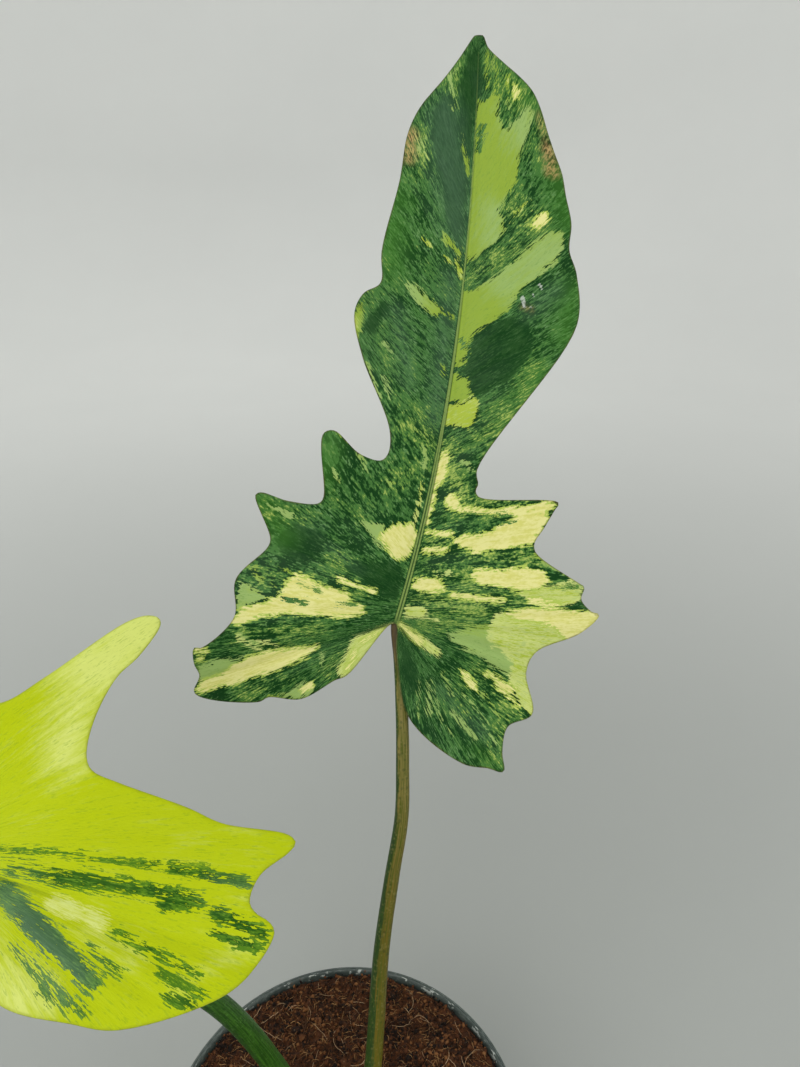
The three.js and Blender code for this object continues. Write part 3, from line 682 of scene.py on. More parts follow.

# %% [markdown]
# ## Marks of colour
#
# A variegated leaf has sectors of cells without green. On this plant they are cream, light green
# or calm deep green, with streaky green between. Each mark below is a small outline in the
# blade's own millimetres, with a margin to grow it by. Two places make a stroke.
# All marks of one tone make one soft field, and the finish turns it into crisp ragged patches.
# The marks named busy, grass, pale and sheen stay soft: they only shift the colours under them.
# The sheen marks are a painted reflection: a grey-blue tint where the waxy skin mirrors the sky.

# %% Marks of the main blade
MAIN_MARKS = {
    "light": [
        (0, (2.6, 177), (5, 176), (7, 178), (9.5, 178.5), (10, 170), (13, 165.5), (17, 171), (20, 176),
         (21.4, 173), (20.5, 165), (18.5, 156), (18.5, 147), (14, 137), (16, 134), (17, 130), (14, 125),
         (10, 121), (6, 118.5), (4, 125), (3.4, 140), (2.6, 150), (2, 165)),
        (0.2, (3.6, 196), (5, 181)), (-0.1, (7.4, 191), (8, 180)), (0.3, (11.4, 186), (13, 173)),
        (-0.8, (5.8, 193), (12, 187.5)), (-0.4, (16, 181), (18, 176)),
        (0.4, (-5.5, 188), (-7.8, 182)), (0.4, (-7, 180), (-4.5, 171)), (0.4, (-1, 161), (3, 149)),
        (0.2, (-16.5, 161), (-14, 154)), (0.2, (-13.5, 158), (-10.5, 150.5)), (0, (-16, 154), (-14, 149.5)),
        (0, (5.5, 108.5), (10, 109), (16, 114), (21, 119.5), (27, 127), (31, 130), (35, 130.5), (36, 127),
         (34.5, 121), (29.5, 116), (25, 111), (21, 104), (17, 99), (12, 95), (10, 91), (11, 88),
         (9, 84), (6, 84), (5.5, 95)),
        (0.2, (6, 82), (9, 80), (11.3, 80), (13, 75), (11, 72.5), (6, 72)),
        (0.2, (-12, 107), (-9, 107.2), (-4, 103.3), (0, 100.8), (-1, 98.6), (-3, 98.6), (-7, 101)),
        (0.9, (-2, 124.8), (3.5, 120.8)), (0.5, (0, 101), (4, 99.5)),
        (0.6, (-27, 96), (-25.3, 99), (-24.5, 94), (-25.5, 89), (-27, 91)),
        (0.5, (3.4, 82.4), (4, 81)), (0.4, (-16, 88), (-12.5, 83)), (0.4, (-15, 77), (-12, 70)),
        (0.2, (-20.5, 80), (-13.5, 66)), (0.6, (-26.5, 44.5), (-24.5, 41.5)),
        (0.4, (-19, 50.5), (-16.5, 46.5)),
        (0.2, (-26, 56.3), (-16, 49.6)), (0.5, (1.4, 57), (2, 50)), (0.3, (-9, 50.5), (-7, 50.5)),
        (0.2, (-9, 44), (-4, 43)), (1.1, (13.5, 54), (16.5, 52)),
        (0.3, (-17, 30), (-12, 27), (-9, 23), (-6, 23), (-8, 27), (-8, 30.5), (-13, 30)),
        (0.7, (-46, 31.5), (-38, 29)),
        (-0.1, (-52, 6), (-48, 5.5), (-44, 3.5), (-42, 1.5), (-47, -1), (-51, -3)),
        (1, (-48, 10), (-45, 7)),
        (0.2, (-61.5, -28), (-61, -23), (-55, -20), (-50, -18.8), (-46, -17), (-50, -23), (-56, -27)),
        (0.3, (-37, -29.3), (-31, -27), (-27, -23.5), (-24, -23), (-23, -26), (-28, -28.8)),
        (-0.9, (-24, -13), (-21, -12), (-20, -16), (-21, -19), (-23, -17)),
        (0.6, (41, 27.5), (50, 23.5)), (0.6, (50, 23.5), (57, 20)),
        (0.4, (17, -2), (22, 1), (31, 4), (38, 2), (40, -4), (32, -8), (24, -5.5)),
        (0.6, (26, -4), (34, -4), (42, -5), (44, -12), (38, -11), (31, -8.5)),
        (0.5, (13, -17), (14.5, -27)), (0.6, (22, -26), (30, -33)), (0.4, (31, -19), (38, -26)),
        (0.3, (17, -14), (21, -21)), (0.2, (33, -29), (38, -35)), (0, (15, -20), (19, -29)),
        (0, (24, -19), (33, -28)), (-0.1, (10, -18), (11, -29)), (-0.1, (18, -27), (23, -33)),
        (0.3, (-50, -11), (-43, -13)), (0.3, (-46, -14.5), (-36, -12)), (0.2, (-62, -18), (-58, -19.5)),
        (0.3, (-40, 12), (-33, 10)), (0.3, (-44, 8), (-40, 6.5)),
    ],
    "lime": [
        (0.6, (30, 3), (31, 6.5), (36, 8.5), (43, 9), (50, 7), (58, 2), (50, -2), (47, -5), (46.5, -9),
         (48, -14), (50, -21), (48, -24.5), (42.5, -19), (39, -12), (39, -7), (35, -3.5), (30, -1)),
        (0.5, (-50, -12), (-42, -15)), (0.4, (-44, -11.5), (-36, -13)), (0.4, (52, 22), (57, 18)),
        (0.3, (6, 71), (12, 72.3), (15, 74), (16, 70), (15.5, 67), (14, 64), (11, 65.3), (6, 64.6)),
        (0.2, (31, -3.5), (40, -6.5)),
        (0.8, (38, 15), (45, 17.5), (50, 19), (56.5, 18), (55, 14.5), (49, 12.5), (42, 13)),
        (0.5, (2, 5), (6, 6), (9, 5), (8, 3), (3, 2.5)),
        (0.2, (8, -4), (11, -4.5), (15, -7), (15.5, -9), (12, -8), (9, -6)), (0.2, (9, 3), (13, 2.6)),
        (0.2, (-1, -0.8), (-5, -2.5), (-9, -5), (-13, -7), (-15, -14), (-17, -17), (-15, -20), (-12, -18),
         (-6, -10), (-2, -3)),
        (0.7, (3, 119), (5.2, 113)), (0.5, (-9, 123), (-6.5, 121)), (0.5, (-1, 118.5), (0.5, 117)),
        (0.5, (2, 45), (1.2, 30)), (-0.3, (4.6, 195.8), (13, 187)), (0.4, (12.5, 184), (15, 177)),
        (0.1, (-1.5, 163), (-0.5, 159)), (0.2, (19, 136), (24, 141)), (0.2, (17, 132), (21, 137)),
        (-0.1, (-13, 157), (-10.5, 151)), (0.5, (-26.8, 94), (-26, 89)), (0.5, (11, 17), (15, 17.6)),
    ],
    "cream": [
        (0.4, (14, 182), (15, 178)), (-0.5, (25, 131), (27, 136), (30, 137), (30, 134), (28, 131)),
        (0.5, (7.2, 55), (8.5, 55), (8, 49), (7, 46), (6, 47)), (0.5, (6, 43), (4.8, 33)),
        (-0.6, (10, 41), (11, 43.5), (14, 43), (15, 40), (14, 38), (11, 38)),
        (0.3, (15, 38.5), (24, 39.5), (32, 41), (38, 43), (44, 44.5), (45, 43), (38, 41), (28, 38.5),
         (20, 38)),
        (0, (14, 29), (18, 30), (22, 31), (27, 34), (31, 37), (35, 40.5), (41, 42.5), (43, 41), (41.5, 36),
         (39.5, 31), (33, 29), (28, 27.5), (22, 26), (17, 27)), (0.4, (6, 30), (14, 30)),
        (0, (-9, 26), (-7, 29), (-4, 31), (0, 31), (2, 29), (2, 25), (0, 21), (-3, 20.5), (-5, 22), (-7, 24)),
        (0, (22, 18), (23, 20), (28, 20.3), (32, 21.5), (38, 23), (44, 22.3), (46, 20), (43, 17), (38, 15.5),
         (30, 16.3), (25, 16)), (0.5, (41, 13.2), (50, 13)),
        (0.3, (4, 13), (6, 14.5), (12, 15), (13, 13), (10, 11.5), (6, 11.5)),
        (0.4, (16.5, 11), (24, 11.5)), (0.4, (24, 11), (33, 12)), (0.4, (5, 24), (13, 25)),
        (0, (34, 8), (40, 9.8), (46, 11), (54, 11.6), (62.4, 11.8), (65, 11), (63, 5), (56, 1.5),
         (50, 6), (44, 7), (38, 6.5)),
        (0.1, (1, -0.4), (4, -1.6), (8, -3.6), (9.5, -5.6), (8.5, -6), (6, -4.4), (3, -2)),
        (-0.7, (22, -11.5), (25, -12.5), (28, -16), (29, -19), (25.5, -17), (23, -14)),
        (0, (34, -14), (37, -14.5), (41, -16), (40, -18), (36, -17)), (0.2, (31, -12.5), (35, -13.5)),
        (0.2, (39, -19), (43, -21)), (0.3, (-62.5, -18), (-59.5, -17.5)), (0.2, (-62, -21), (-60, -20)),
        (0, (-52, -6.5), (-49, -3), (-44, 0), (-39, 2.5), (-36.5, 6), (-37, 8), (-34, 10.5), (-30, 10),
         (-26, 8), (-21, 8), (-17, 7), (-16, 4.5), (-12, 3.5), (-11, 1.5), (-15, 0), (-21, -1), (-30, -1),
         (-37, -2), (-44, -4), (-50, -7.5)), (0.3, (-20, 11), (-8.5, 9)),
        (0, (-62, -31), (-60, -28), (-54, -25), (-50, -21), (-44, -17), (-36, -14), (-28, -12.5), (-24, -11),
         (-27, -14.5), (-34, -19), (-41, -22.5), (-48, -26), (-54, -28.5), (-58, -31)),
        (0.5, (-26.5, -25.5), (-24.5, -23.8)), (0.3, (-4, -3), (-10, -7.5)), (0.4, (-12, -11), (-13.5, -17)),
    ],
    "dark": [
        (1.2, (5.2, 167), (4.6, 158)), (0.5, (8.2, 92.5), (9, 90)), (0.7, (-37, 3), (-30, 2.5)),
        (0.5, (-33, 8), (-26, 6)), (0.3, (-20, 3), (-14, 4)), (0.6, (17, 36.6), (31, 38.5)),
        (0.3, (46, 17.5), (55, 19)), (0.2, (26, 35.5), (34, 37)),
    ],
    "calm": [
        (0, (11, 88), (12, 94), (17, 99), (22, 101), (28, 100), (31, 95), (30, 88), (24, 81), (17, 76),
         (12.5, 74), (10, 82)),
        (0, (-3, 192), (0, 198), (2.6, 190), (3.4, 180), (2.4, 176), (2, 165), (2.6, 152), (1, 150),
         (-1.5, 160), (-3, 172), (-4.5, 180)),
        (0, (-12, 168), (-8, 175), (-4, 170), (-1, 158), (2.5, 148), (3.4, 132), (3.2, 122), (-1, 129),
         (-5, 142), (-8, 150), (-11, 160)),
        (0, (-42, 22), (-36, 27), (-28, 25), (-26, 19), (-32, 14), (-39, 16)),
        (0, (-18, 16), (-3, 20), (0, 14), (-1, 7), (-10, 9)),
        (0, (2, -5), (8, -12), (11, -20), (8, -22), (4, -16)), (2, (-18, 98), (-22, 92)),
    ],
    "grass": [
        (3, (31, 152), (36, 134)), (3, (41, 112), (41, 98)), (4, (-19, 126), (-18, 112)),
        (3, (-29, 54), (-30, 42)), (3, (-47, 32), (-40, 22)), (3, (-22, 142), (-18, 134)),
        (2, (34, 84), (24, 68)), (2, (14, 182), (20, 176)), (-1, (30, -36), (38, -40)),
    ],
    "busy": [
        (3, (5, 193), (9, 180)), (5, (12, 184), (16, 174)), (4, (-6, 186), (-5, 172)),
        (4, (-14, 160), (-12, 148)),
        (2, (0, 158), (3, 150)), (6, (18, 138), (26, 132)), (5, (10, 116), (24, 126)),
        (3, (20, 158), (24, 170)),
        (-2, (-16, 146), (-12, 132)), (-1, (-18, 112), (-15, 104)), (0, (-12, 119), (2, 107)),
        (1, (-24, 103), (-22, 98)), (1, (-17, 92), (-11, 72)), (1, (-14, 74), (-7, 63)),
        (-3, (-8, 88), (-1, 68)),
        (3, (30, 90), (26, 72)), (5, (18, 62), (26, 72)), (6, (-4, 62), (10, 56)), (7, (8, 54), (14, 44)),
        (4, (-8, 44), (-2, 48)), (0, (-22, 44), (-8, 32)), (1, (-24, 36), (-10, 28)),
        (3, (-44, 30), (-36, 28)),
        (2, (-24, 18), (-12, 14)), (3, (-46, 10), (-38, 8)), (4, (-30, 7), (-12, 10)),
        (4, (-48, -10), (-26, -6)),
        (3, (-50, -14), (-34, -11)), (5, (-62, -19), (-60, -28)), (3, (-46, -29), (-30, -22)),
        (4, (-20, -18), (-14, -12)),
        (6, (14, 40), (34, 42)), (6, (8, 26), (40, 26)), (5, (8, 18), (44, 14)), (6, (6, 8), (34, 9)),
        (4, (10, 2), (24, 2)), (5, (30, -12), (42, -22)), (1, (22, -14), (28, -30)),
        (-1, (10, -18), (34, -36)),
        (3, (46, 18), (56, 18)), (3, (36, -36), (40, -26)),
    ],
    "blush": [
        (1.5, (-17.5, 159), (-17, 151)), (1.5, (27.5, 161), (30, 152)), (0, (23.5, 173), (26.5, 164)),
        (-0.4, (26, 105.5), (28.5, 105)),
    ],
    "pale": [
        (3, (17, 172), (20, 162)), (1, (13, 136), (14, 126)), (3, (20, 113), (34, 125)),
        (6, (-12, 186), (-13, 60)),
        (4, (-52, 5), (-42, -3)), (4, (-18, 30), (-4, 24)), (4, (-60, -25), (-46, -16)),
        (4, (18, -2), (42, -8)),
        (6, (12, -20), (34, -34)), (3, (-30, 43), (0, 52)), (4, (16, 52), (10, 56)),
        (3, (-22, -13), (-21, -18)), (2, (-30, -27), (-25, -25)),
        (3, (-46, 32), (-36, 28)), (3, (48, 20), (56, 18)),
    ],
    "scar": [
        (0.6, (25.3, 108.5), (26.6, 105.4)), (0.4, (29.8, 113.6), (31.6, 112.2)),
        (0.3, (27.6, 106.2), (28.6, 105.6)), (0.2, (28.6, 110.4), (29, 109.2)),
    ],
    # Painted reflection: these marks tint the green grey-blue where the waxy skin mirrors the sky
    "painted_sheen": [
        (2, (-12, 168), (-8, 175), (-4, 170), (-1, 158), (2.5, 148), (3.4, 132), (3.2, 122), (-1, 129),
         (-5, 142), (-8, 150), (-11, 160)),
        (1, (28, 104), (36, 112)), (2, (2, 112), (3, 66)), (0, (-14, 98), (-6, 76)),
        (-1, (-34, 28), (-28, 27)), (-2, (-24, 20), (-14, 14)), (0, (18, -20), (32, -31)),
        (-2, (4, 176), (1, 186)),
    ],
}
print("marks on the main blade:", sum(len(marks) for marks in MAIN_MARKS.values()))

# %% Marks of the second blade
# This blade is mostly yellow-green, and its marks named dark let the streaky green through
SECOND_MARKS = {
    "light": [(90, (0, 0), (0, 150))],
    "lime": [
        (3, (-30, 8), (-44, 28)), (3, (2, 90), (6, 130)),
    ],
    "cream": [
        # The first cream stroke is a painted highlight: the pale glossy ridge beside a basal rib
        (0.9, (16.5, -20.5), (22.5, -28)), (2, (-45, 31), (-52, 35)),
        (2, (-2, 150), (2, 168)), (2, (-40, -36), (-50, -41)),
    ],
    "dark": [
        (0.5, (12, -7), (24, -15)), (0.6, (24, -16), (36, -24)), (1.3, (38, -26), (50, -36)),
        (0.9, (12, -11), (19, -17)), (1.4, (19, -17), (30, -25.5)), (1, (30, -25.5), (40, -33)),
        (1.5, (34, -31), (40, -34)), (1.5, (42, -38), (48, -46)), (0.7, (40, -41), (46, -48)),
        (2, (10, -14), (14, -27)), (1.7, (14, -27), (17, -37)), (0.8, (24, -31), (30, -40)),
        (0.7, (30, -40), (34, -46)), (0.9, (28, -42), (33, -49)), (0.8, (27, -46), (30, -50)),
        (1, (10, -33), (14, -40)), (0.5, (8, -24), (11, -34)), (0.4, (19, -31), (22, -38)),
        (2, (-6, 40), (-14, 60), (-24, 84)), (1.6, (2, 66), (12, 84), (22, 104)), (1.2, (4, 24), (20, 22)),
        (2.5, (-14, 96), (-22, 118)), (1, (6, 118), (13, 136)), (1.5, (-12, 10), (-34, 16)),
        (1.4, (-16, -12), (-44, -24)), (0.9, (-10, -20), (-22, -33)), (1, (-4, 128), (-12, 146)),
    ],
    "calm": [
        (0.5, (11, -18), (16, -34)), (1, (-12, 56), (-22, 80)), (0.5, (13, -11), (30, -25.5)),
        (0.4, (38, -27), (50, -36)), (0.3, (43, -39), (48, -46)), (0.3, (27, -45), (31, -50)),
    ],
    "grass": [(6, (6, 10), (14, 30)), (6, (-8, 90), (-12, 120))],
    "busy": [(2, (34, -24), (46, -34))],
    "pale": [
        # The first pale stroke is a painted highlight along a broad ridge of the blade
        (1, (28, 4), (34, 13), (42, 21)), (6, (42, 21), (60, 29)), (1, (1, -20), (6, -34)),
        (-3, (20, -28), (24, -36)), (-4, (40, 0), (56, -28)), (3, (-30, -30), (-46, -40)),
        (-4, (12, 6), (16, 60)), (-3, (30, -46), (44, -46)),
    ],
    # Painted reflection: these marks tint the green grey-blue where the waxy skin mirrors the sky
    "painted_sheen": [(4, (9, -16), (14, -34)), (0, (44, -34), (50, -38)), (2, (-18, 60), (-24, 84))],
}
MARK_SOFTNESS = {
    "light": 3, "lime": 3, "cream": 3, "dark": 3, "calm": 3, "scar": 1, "blush": 4, "grass": 8, "busy": 8,
    "painted_sheen": 8, "pale": 8,
}
ONE_SIDED = ("light", "lime", "cream", "pale")
print("marks on the second blade:", sum(len(marks) for marks in SECOND_MARKS.values()))


# %% Soft fields from marks
def field_of(points, marks, softness, form=None):
    """0.5 on the marks' outlines, 1 inside, 0 outside. With a form, the midrib stops each mark."""
    field = np.zeros(len(points))
    for grow, *places in marks:
        places = np.array(places, float)
        inside, near = within(points, places)
        reach = np.where(inside, near, -near) + grow
        value = np.clip(0.5 + reach / (2 * softness), 0, 1)
        if form:
            side = right_of_midrib(places.mean(0)[None], form)[0]
            value = np.where(right_of_midrib(points, form) == side, value, 0)
        field = np.maximum(field, value)
    return field


def make_blade(name, node, edge, form, place, veins, marks):
    """One leaf blade: face, back and rounded edge, with its veins and marks kept on it."""
    outline, points, triangles = blade_net(edge, form)
    near = within(points, outline)[1]
    places = vein_places(points, veins, form)
    face = face_height(*points.T, form) + vein_relief(points, places, near, form)
    back = face - blade_depth(points, near, form)
    count = len(points)
    sides = [(a, b) for triangle in triangles.tolist() for a, b in zip(triangle, triangle[1:] + triangle[:1])]
    rim = list(set(sides) - {(b, a) for a, b in sides})
    after = dict(rim)
    before = {b: a for a, b in rim}
    order = sorted(after)
    middle = {index: 2 * count + i for i, index in enumerate(order)}
    out = np.array([points[after[i]] - points[before[i]] for i in order])
    out = np.stack([out[:, 1], -out[:, 0]], axis=1) / np.linalg.norm(out, axis=1)[:, None]
    ring = points[order] + EDGE_ROUNDING * out
    across, along = np.vstack([points, points, ring]).T
    height = np.concatenate([face, back, (face[order] + back[order]) / 2])
    faces = triangles.tolist() + (triangles[:, ::-1] + count).tolist()
    for a, b in rim:
        faces.append((b, a, middle[a], middle[b]))
        faces.append((middle[b], middle[a], a + count, b + count))
    piece = new_piece(name, on_blade(across, along, height, place), faces, node, node)

    def thrice(values):
        return np.concatenate([values, values, values[order]])
    keep_on(
        piece, vein=thrice(places["number"] * VEIN_GAP), run=thrice(places["run"]),
        left=thrice(places["left"]), rib=thrice(off_midrib(points, form)), margin=thrice(near),
        across=thrice(points[:, 0]), along=thrice(points[:, 1]),
        back=np.repeat([0, 1, 0.5], [count, count, len(order)]))
    for tone, softness in MARK_SOFTNESS.items():
        field = field_of(points, marks.get(tone, []), softness, form if tone in ONE_SIDED else None)
        keep_on(piece, **{tone: thrice(field)})
    return piece


blade_main = make_blade("leaf_main", "blade_main", MAIN_EDGE, MAIN_FORM, MAIN_PLACE, MAIN_VEINS, MAIN_MARKS)
blade_second = make_blade(
    "leaf_second", "blade_second", SECOND_EDGE, SECOND_FORM, SECOND_PLACE, SECOND_VEINS, SECOND_MARKS)

# %% [markdown]
# ## The finish of a blade
#
# A real blade is waxy: deep green cells under a smooth skin, with a broad soft shine. One tree of
# nodes serves both blades. Three layers of streaks, broad, fine and tiny, run along the veins.
# They first fleck the deep green with mid green, more so where a mark says busy and hardly at all
# where it says calm. The green is also a little lighter towards the tip: partly the leaf's own
# tone, partly painted light, as the basal lobes face away from the light. Where a mark says sheen,
# a grey-blue painted reflection of the sky on the wax goes over the green. Then the streaks fray
# the edges of the light, lime and cream marks and mottle them.
# The lines of the midrib, the creases over the basal ribs and a thin brownish line round the
# margin come last. The back has the same pattern, paler and more matt. Only colour, roughness and
# relief change over the surface.

# %% Colours of the two blades
MAIN_PALETTE = {
    "deep": colour(13, 59, 16), "middle": colour(69, 116, 54), "fleck": colour(104, 142, 58),
    "bright fleck": colour(172, 190, 96), "grass": colour(66, 122, 38), "light": colour(146, 172, 60),
    "pale light": colour(154, 182, 104), "lime": colour(170, 189, 62), "pale lime": colour(202, 213, 126),
    "halo": colour(178, 198, 90), "cream": colour(230, 226, 150), "warm cream": colour(214, 212, 116),
    # The tone named sheen is a painted reflection: the grey-blue of the sky mirrored by the wax
    "rib": colour(136, 160, 84), "painted_sheen": colour(80, 112, 84), "margin": colour(92, 78, 42),
    "mist": colour(105, 144, 90), "base busy": 0.1,
}
SECOND_PALETTE = {
    "deep": colour(40, 86, 16), "middle": colour(84, 128, 24), "fleck": colour(134, 166, 24),
    "bright fleck": colour(178, 194, 30), "grass": colour(164, 176, 6), "light": colour(184, 200, 10),
    "pale light": colour(216, 226, 118), "lime": colour(192, 206, 62), "pale lime": colour(204, 214, 92),
    "halo": colour(204, 214, 92), "cream": colour(216, 226, 128), "warm cream": colour(208, 218, 104),
    # The tone named sheen is a painted reflection: the grey-blue of the sky mirrored by the wax
    "rib": colour(186, 204, 84), "painted_sheen": colour(112, 142, 116), "margin": colour(156, 166, 30),
    "mist": colour(112, 152, 40), "base busy": 0.2,
}
BLUSH_TINT = colour(222, 168, 116)
SCAR_TINT = colour(196, 202, 192)
BACK_TINT = colour(120, 146, 100)
# Width and length in millimetres, and a layer of the noise, for the broad, fine and tiny streaks
STREAK_LAYERS = ((1.3, 10.0, 0.0), (0.46, 3.4, 9.0), (0.32, 1.1, 17.0))
print("palettes:", len(MAIN_PALETTE), "tones each")


# %% The blade's finish
def flecked_green(tree, palette, broad, fine, tiny):
    """Deep green with streaks of mid green, and bright flecks where the blade is busy. Over it lie a
    painted reflection where the sheen marks are, and a little painted light towards the tip.
    """
    busy = maths(tree, "MAXIMUM", stored(tree, "busy"), palette["base busy"])
    calm = ragged(tree, stored(tree, "calm"), broad, 0.5, 0.12)
    lively = maths(tree, "SUBTRACT", 1.0, times(tree, calm, 0.8))
    drift = maths(tree, "SUBTRACT", clouds(tree, place_in(tree), 120.0, 3.0), 0.5)
    # Partly the leaf's own tone, partly painted light: the green grows a little lighter towards the tip, and
    # stays darker on the basal lobes, which face away from the light.
    high = ramped(tree, stored(tree, "along"), 20.0, 90.0)
    blend = weighed(tree, (broad, 0.34), (fine, 0.38), (tiny, 0.28), (busy, 0.12), (drift, 0.6), (high, 0.04))
    share = times(tree, ramped(tree, blend, 0.45, 0.62), lively)
    green = mixed(tree, share, palette["deep"], palette["middle"])
    mist = weighed(tree, (fine, 0.62), (tiny, 0.38), (drift, 0.4))
    mist = times(tree, ramped(tree, mist, 0.65, 0.76, 0.0, 0.85), lively)
    green = mixed(tree, mist, green, palette["mist"])
    green = mixed(tree, ramped(tree, stored(tree, "grass"), 0.1, 0.9, 0.0, 0.6), green, palette["grass"])
    # Painted reflection: where the sheen marks lie, the green turns grey-blue as if the wax mirrored the sky
    painted_sheen = times(tree, ramped(tree, stored(tree, "painted_sheen"), 0.1, 0.9, 0.0, 0.6),
                  ramped(tree, fine, 0.0, 1.0, 0.7, 1.0))
    green = mixed(tree, painted_sheen, green, palette["painted_sheen"])
    gate = weighed(tree, (broad, 0.26), (fine, 0.4), (tiny, 0.34), (busy, 0.46), (drift, 0.5), (calm, -0.3))
    bright = mixed(tree, tiny, palette["fleck"], palette["bright fleck"])
    green = mixed(tree, ramped(tree, gate, 0.8, 0.88, 0.0, 0.6), green, palette["fleck"])
    return mixed(tree, ramped(tree, gate, 0.94, 0.98), green, bright)


def colour_patches(tree, base, palette, broad, fine, tiny):
    """The light, lime and cream patches, the blush near the edges and a small dry scar."""
    fray = weighed(tree, (broad, 0.38), (fine, 0.38), (tiny, 0.24))
    grain = weighed(tree, (fine, 0.6), (tiny, 0.4))
    dark = ragged(tree, stored(tree, "dark"), fray, 0.9, 0.04)

    def patch(tone, reach, grow=0.0):
        field = maths(tree, "SUBTRACT", maths(tree, "ADD", stored(tree, tone), grow), dark)
        return ragged(tree, field, fray, reach, 0.025)
    drift = weighed(tree, (stored(tree, "pale"), 1.0), (clouds(tree, place_in(tree), 90.0), 0.5),
                    (fine, 0.25), (broad, 0.35))
    light = mixed(tree, ramped(tree, drift, 0.56, 1.3), palette["light"], palette["pale light"])
    light = mixed(tree, ramped(tree, grain, 0.58, 0.8, 0.0, 0.4), light, palette["fleck"])
    shade = mixed(tree, patch("light", 0.85), base, light)
    high = ramped(tree, stored(tree, "along"), 25.0, 55.0)
    paler = ramped(tree, weighed(tree, (fray, 1.0), (high, -0.25)), 0.25, 0.6)
    lime = mixed(tree, paler, palette["lime"], palette["pale lime"])
    lime = mixed(tree, ramped(tree, fine, 0.62, 0.86, 0.0, 0.45), lime, palette["pale light"])
    shade = mixed(tree, patch("lime", 0.7), shade, lime)
    shade = mixed(tree, patch("cream", 0.7, 0.12), shade, palette["halo"])
    cream = mixed(tree, ramped(tree, fray, 0.3, 0.65), palette["warm cream"], palette["cream"])
    shade = mixed(tree, patch("cream", 0.7), shade, cream)
    blush = times(tree, ramped(tree, stored(tree, "blush"), 0.15, 0.85),
                  ramped(tree, grain, 0.3, 0.7, 0.1, 0.75))
    shade = mixed(tree, blush, shade, BLUSH_TINT)
    scar = weighed(tree, (stored(tree, "scar"), 1.0), (fine, 0.3))
    return mixed(tree, ramped(tree, scar, 0.55, 0.75, 0.0, 0.8), shade, SCAR_TINT)


def rib_lines(tree, base, palette, fine):
    """The midrib: two pale lines near the joint, which close up to one, between dark lines."""
    rib, along = stored(tree, "rib"), stored(tree, "along")
    off = maths(tree, "SUBTRACT", rib, ramped(tree, along, -10.0, 130.0, 0.85, 0.24))
    start = ramped(tree, along, -2.0, 3.0)
    dark = times(tree, ramped(tree, off, 0.1, 0.55, 0.8, 0.0), start,
                 ramped(tree, along, 60.0, 140.0, 1.0, 0.35))
    base = mixed(tree, dark, base, palette["deep"])
    pale = times(tree, ramped(tree, off, -0.2, 0.12, 1.0, 0.0), start,
                 ramped(tree, along, 110.0, 195.0, 1.0, 0.15), ramped(tree, fine, 0.1, 0.6, 0.6, 0.95))
    base = mixed(tree, pale, base, palette["rib"])
    middle = times(tree, ramped(tree, rib, 0.08, 0.34, 0.85, 0.0), start,
                   ramped(tree, along, 35.0, 75.0, 1.0, 0.0))
    return mixed(tree, middle, base, palette["deep"])


def creases(tree, base, palette, form):
    """A dark line over each basal rib, which fades out on the way to its lobe."""
    rib, across, along = (stored(tree, name) for name in ("rib", "across", "along"))
    fade = times(tree, ramped(tree, rib, 8.0, 34.0, 0.7, 0.0), ramped(tree, along, -2.0, -0.5, 1.0, 0.0))
    for degrees in form["ribs"]:
        right, up = bearing(degrees)
        gap = maths(tree, "ABSOLUTE", weighed(tree, (along, right), (across, -up)))
        base = mixed(tree, times(tree, ramped(tree, gap, 0.15, 0.6, 1.0, 0.0), fade), base, palette["deep"])
    return base


def edge_line(tree, base, palette, broad):
    """A thin brownish line round the margin, stronger in some places."""
    line = times(tree, ramped(tree, stored(tree, "margin"), 0.0, 0.45, 0.6, 0.0),
                 ramped(tree, broad, 0.2, 0.7, 0.2, 0.9))
    return mixed(tree, line, base, palette["margin"])


def finish_blade(piece, name, palette, form):
    tree = new_material(name, piece)
    vein, run = stored(tree, "vein"), stored(tree, "run")
    side = times(tree, stored(tree, "left"), 37.0)
    broad, fine, tiny = (streaked(tree, vein, run, width, length, maths(tree, "ADD", side, layer))
                         for width, length, layer in STREAK_LAYERS)
    shade = flecked_green(tree, palette, broad, fine, tiny)
    shade = colour_patches(tree, shade, palette, broad, fine, tiny)
    shade = rib_lines(tree, creases(tree, shade, palette, form), palette, fine)
    back = stored(tree, "back")
    shade = mixed(tree, times(tree, back, 0.45), edge_line(tree, shade, palette, broad), BACK_TINT)
    rough = weighed(tree, (ramped(tree, fine, 0.0, 1.0, 0.4, 0.5), 1.0), (back, 0.16))
    relief = weighed(tree, (fine, 0.7), (clouds(tree, place_in(tree), 900.0), 1.0))
    finish_surface(tree, shade, rough, relief, 0.00012, 0.5, 0.11)
    print(name, "has", len(tree.nodes), "nodes")


finish_blade(blade_main, "blade_main", MAIN_PALETTE, MAIN_FORM)
finish_blade(blade_second, "blade_second", SECOND_PALETTE, SECOND_FORM)

# %% [markdown]
# ## Petioles
#
# A petiole is the leaf's stalk: round, a little flattened on its upper side, thicker where it
# clasps the stem and, in life, slightly swollen just under the blade; here it narrows a little
# there instead. A curve with a bevel would give a plain tube, so the rings of points are laid
# along the path one by one, which lets each ring have its own radius and section. The long
# petiole has a bend at two thirds of its height and is two-toned: bronze where the light reaches
# it, dark green on its shaded side.

# %% Petioles
MAIN_PETIOLE = [
    (7.1, -3, 111), (9.8, 2.7, 129.5), (12.6, 17.1, 165), (15.8, 27, 185), (19, 36.4, 202.5),
    (19.3, 44.4, 216.5), (19.2, 50.6, 227), (18.3, 61.5, 244.5),
]
SECOND_PETIOLE = [
    (-6.9, -8.3, 111.5), (-12, -7.6, 125), (-19.4, -6.2, 144), (-30.9, -17.4, 190), (-52, -34, 237),
]
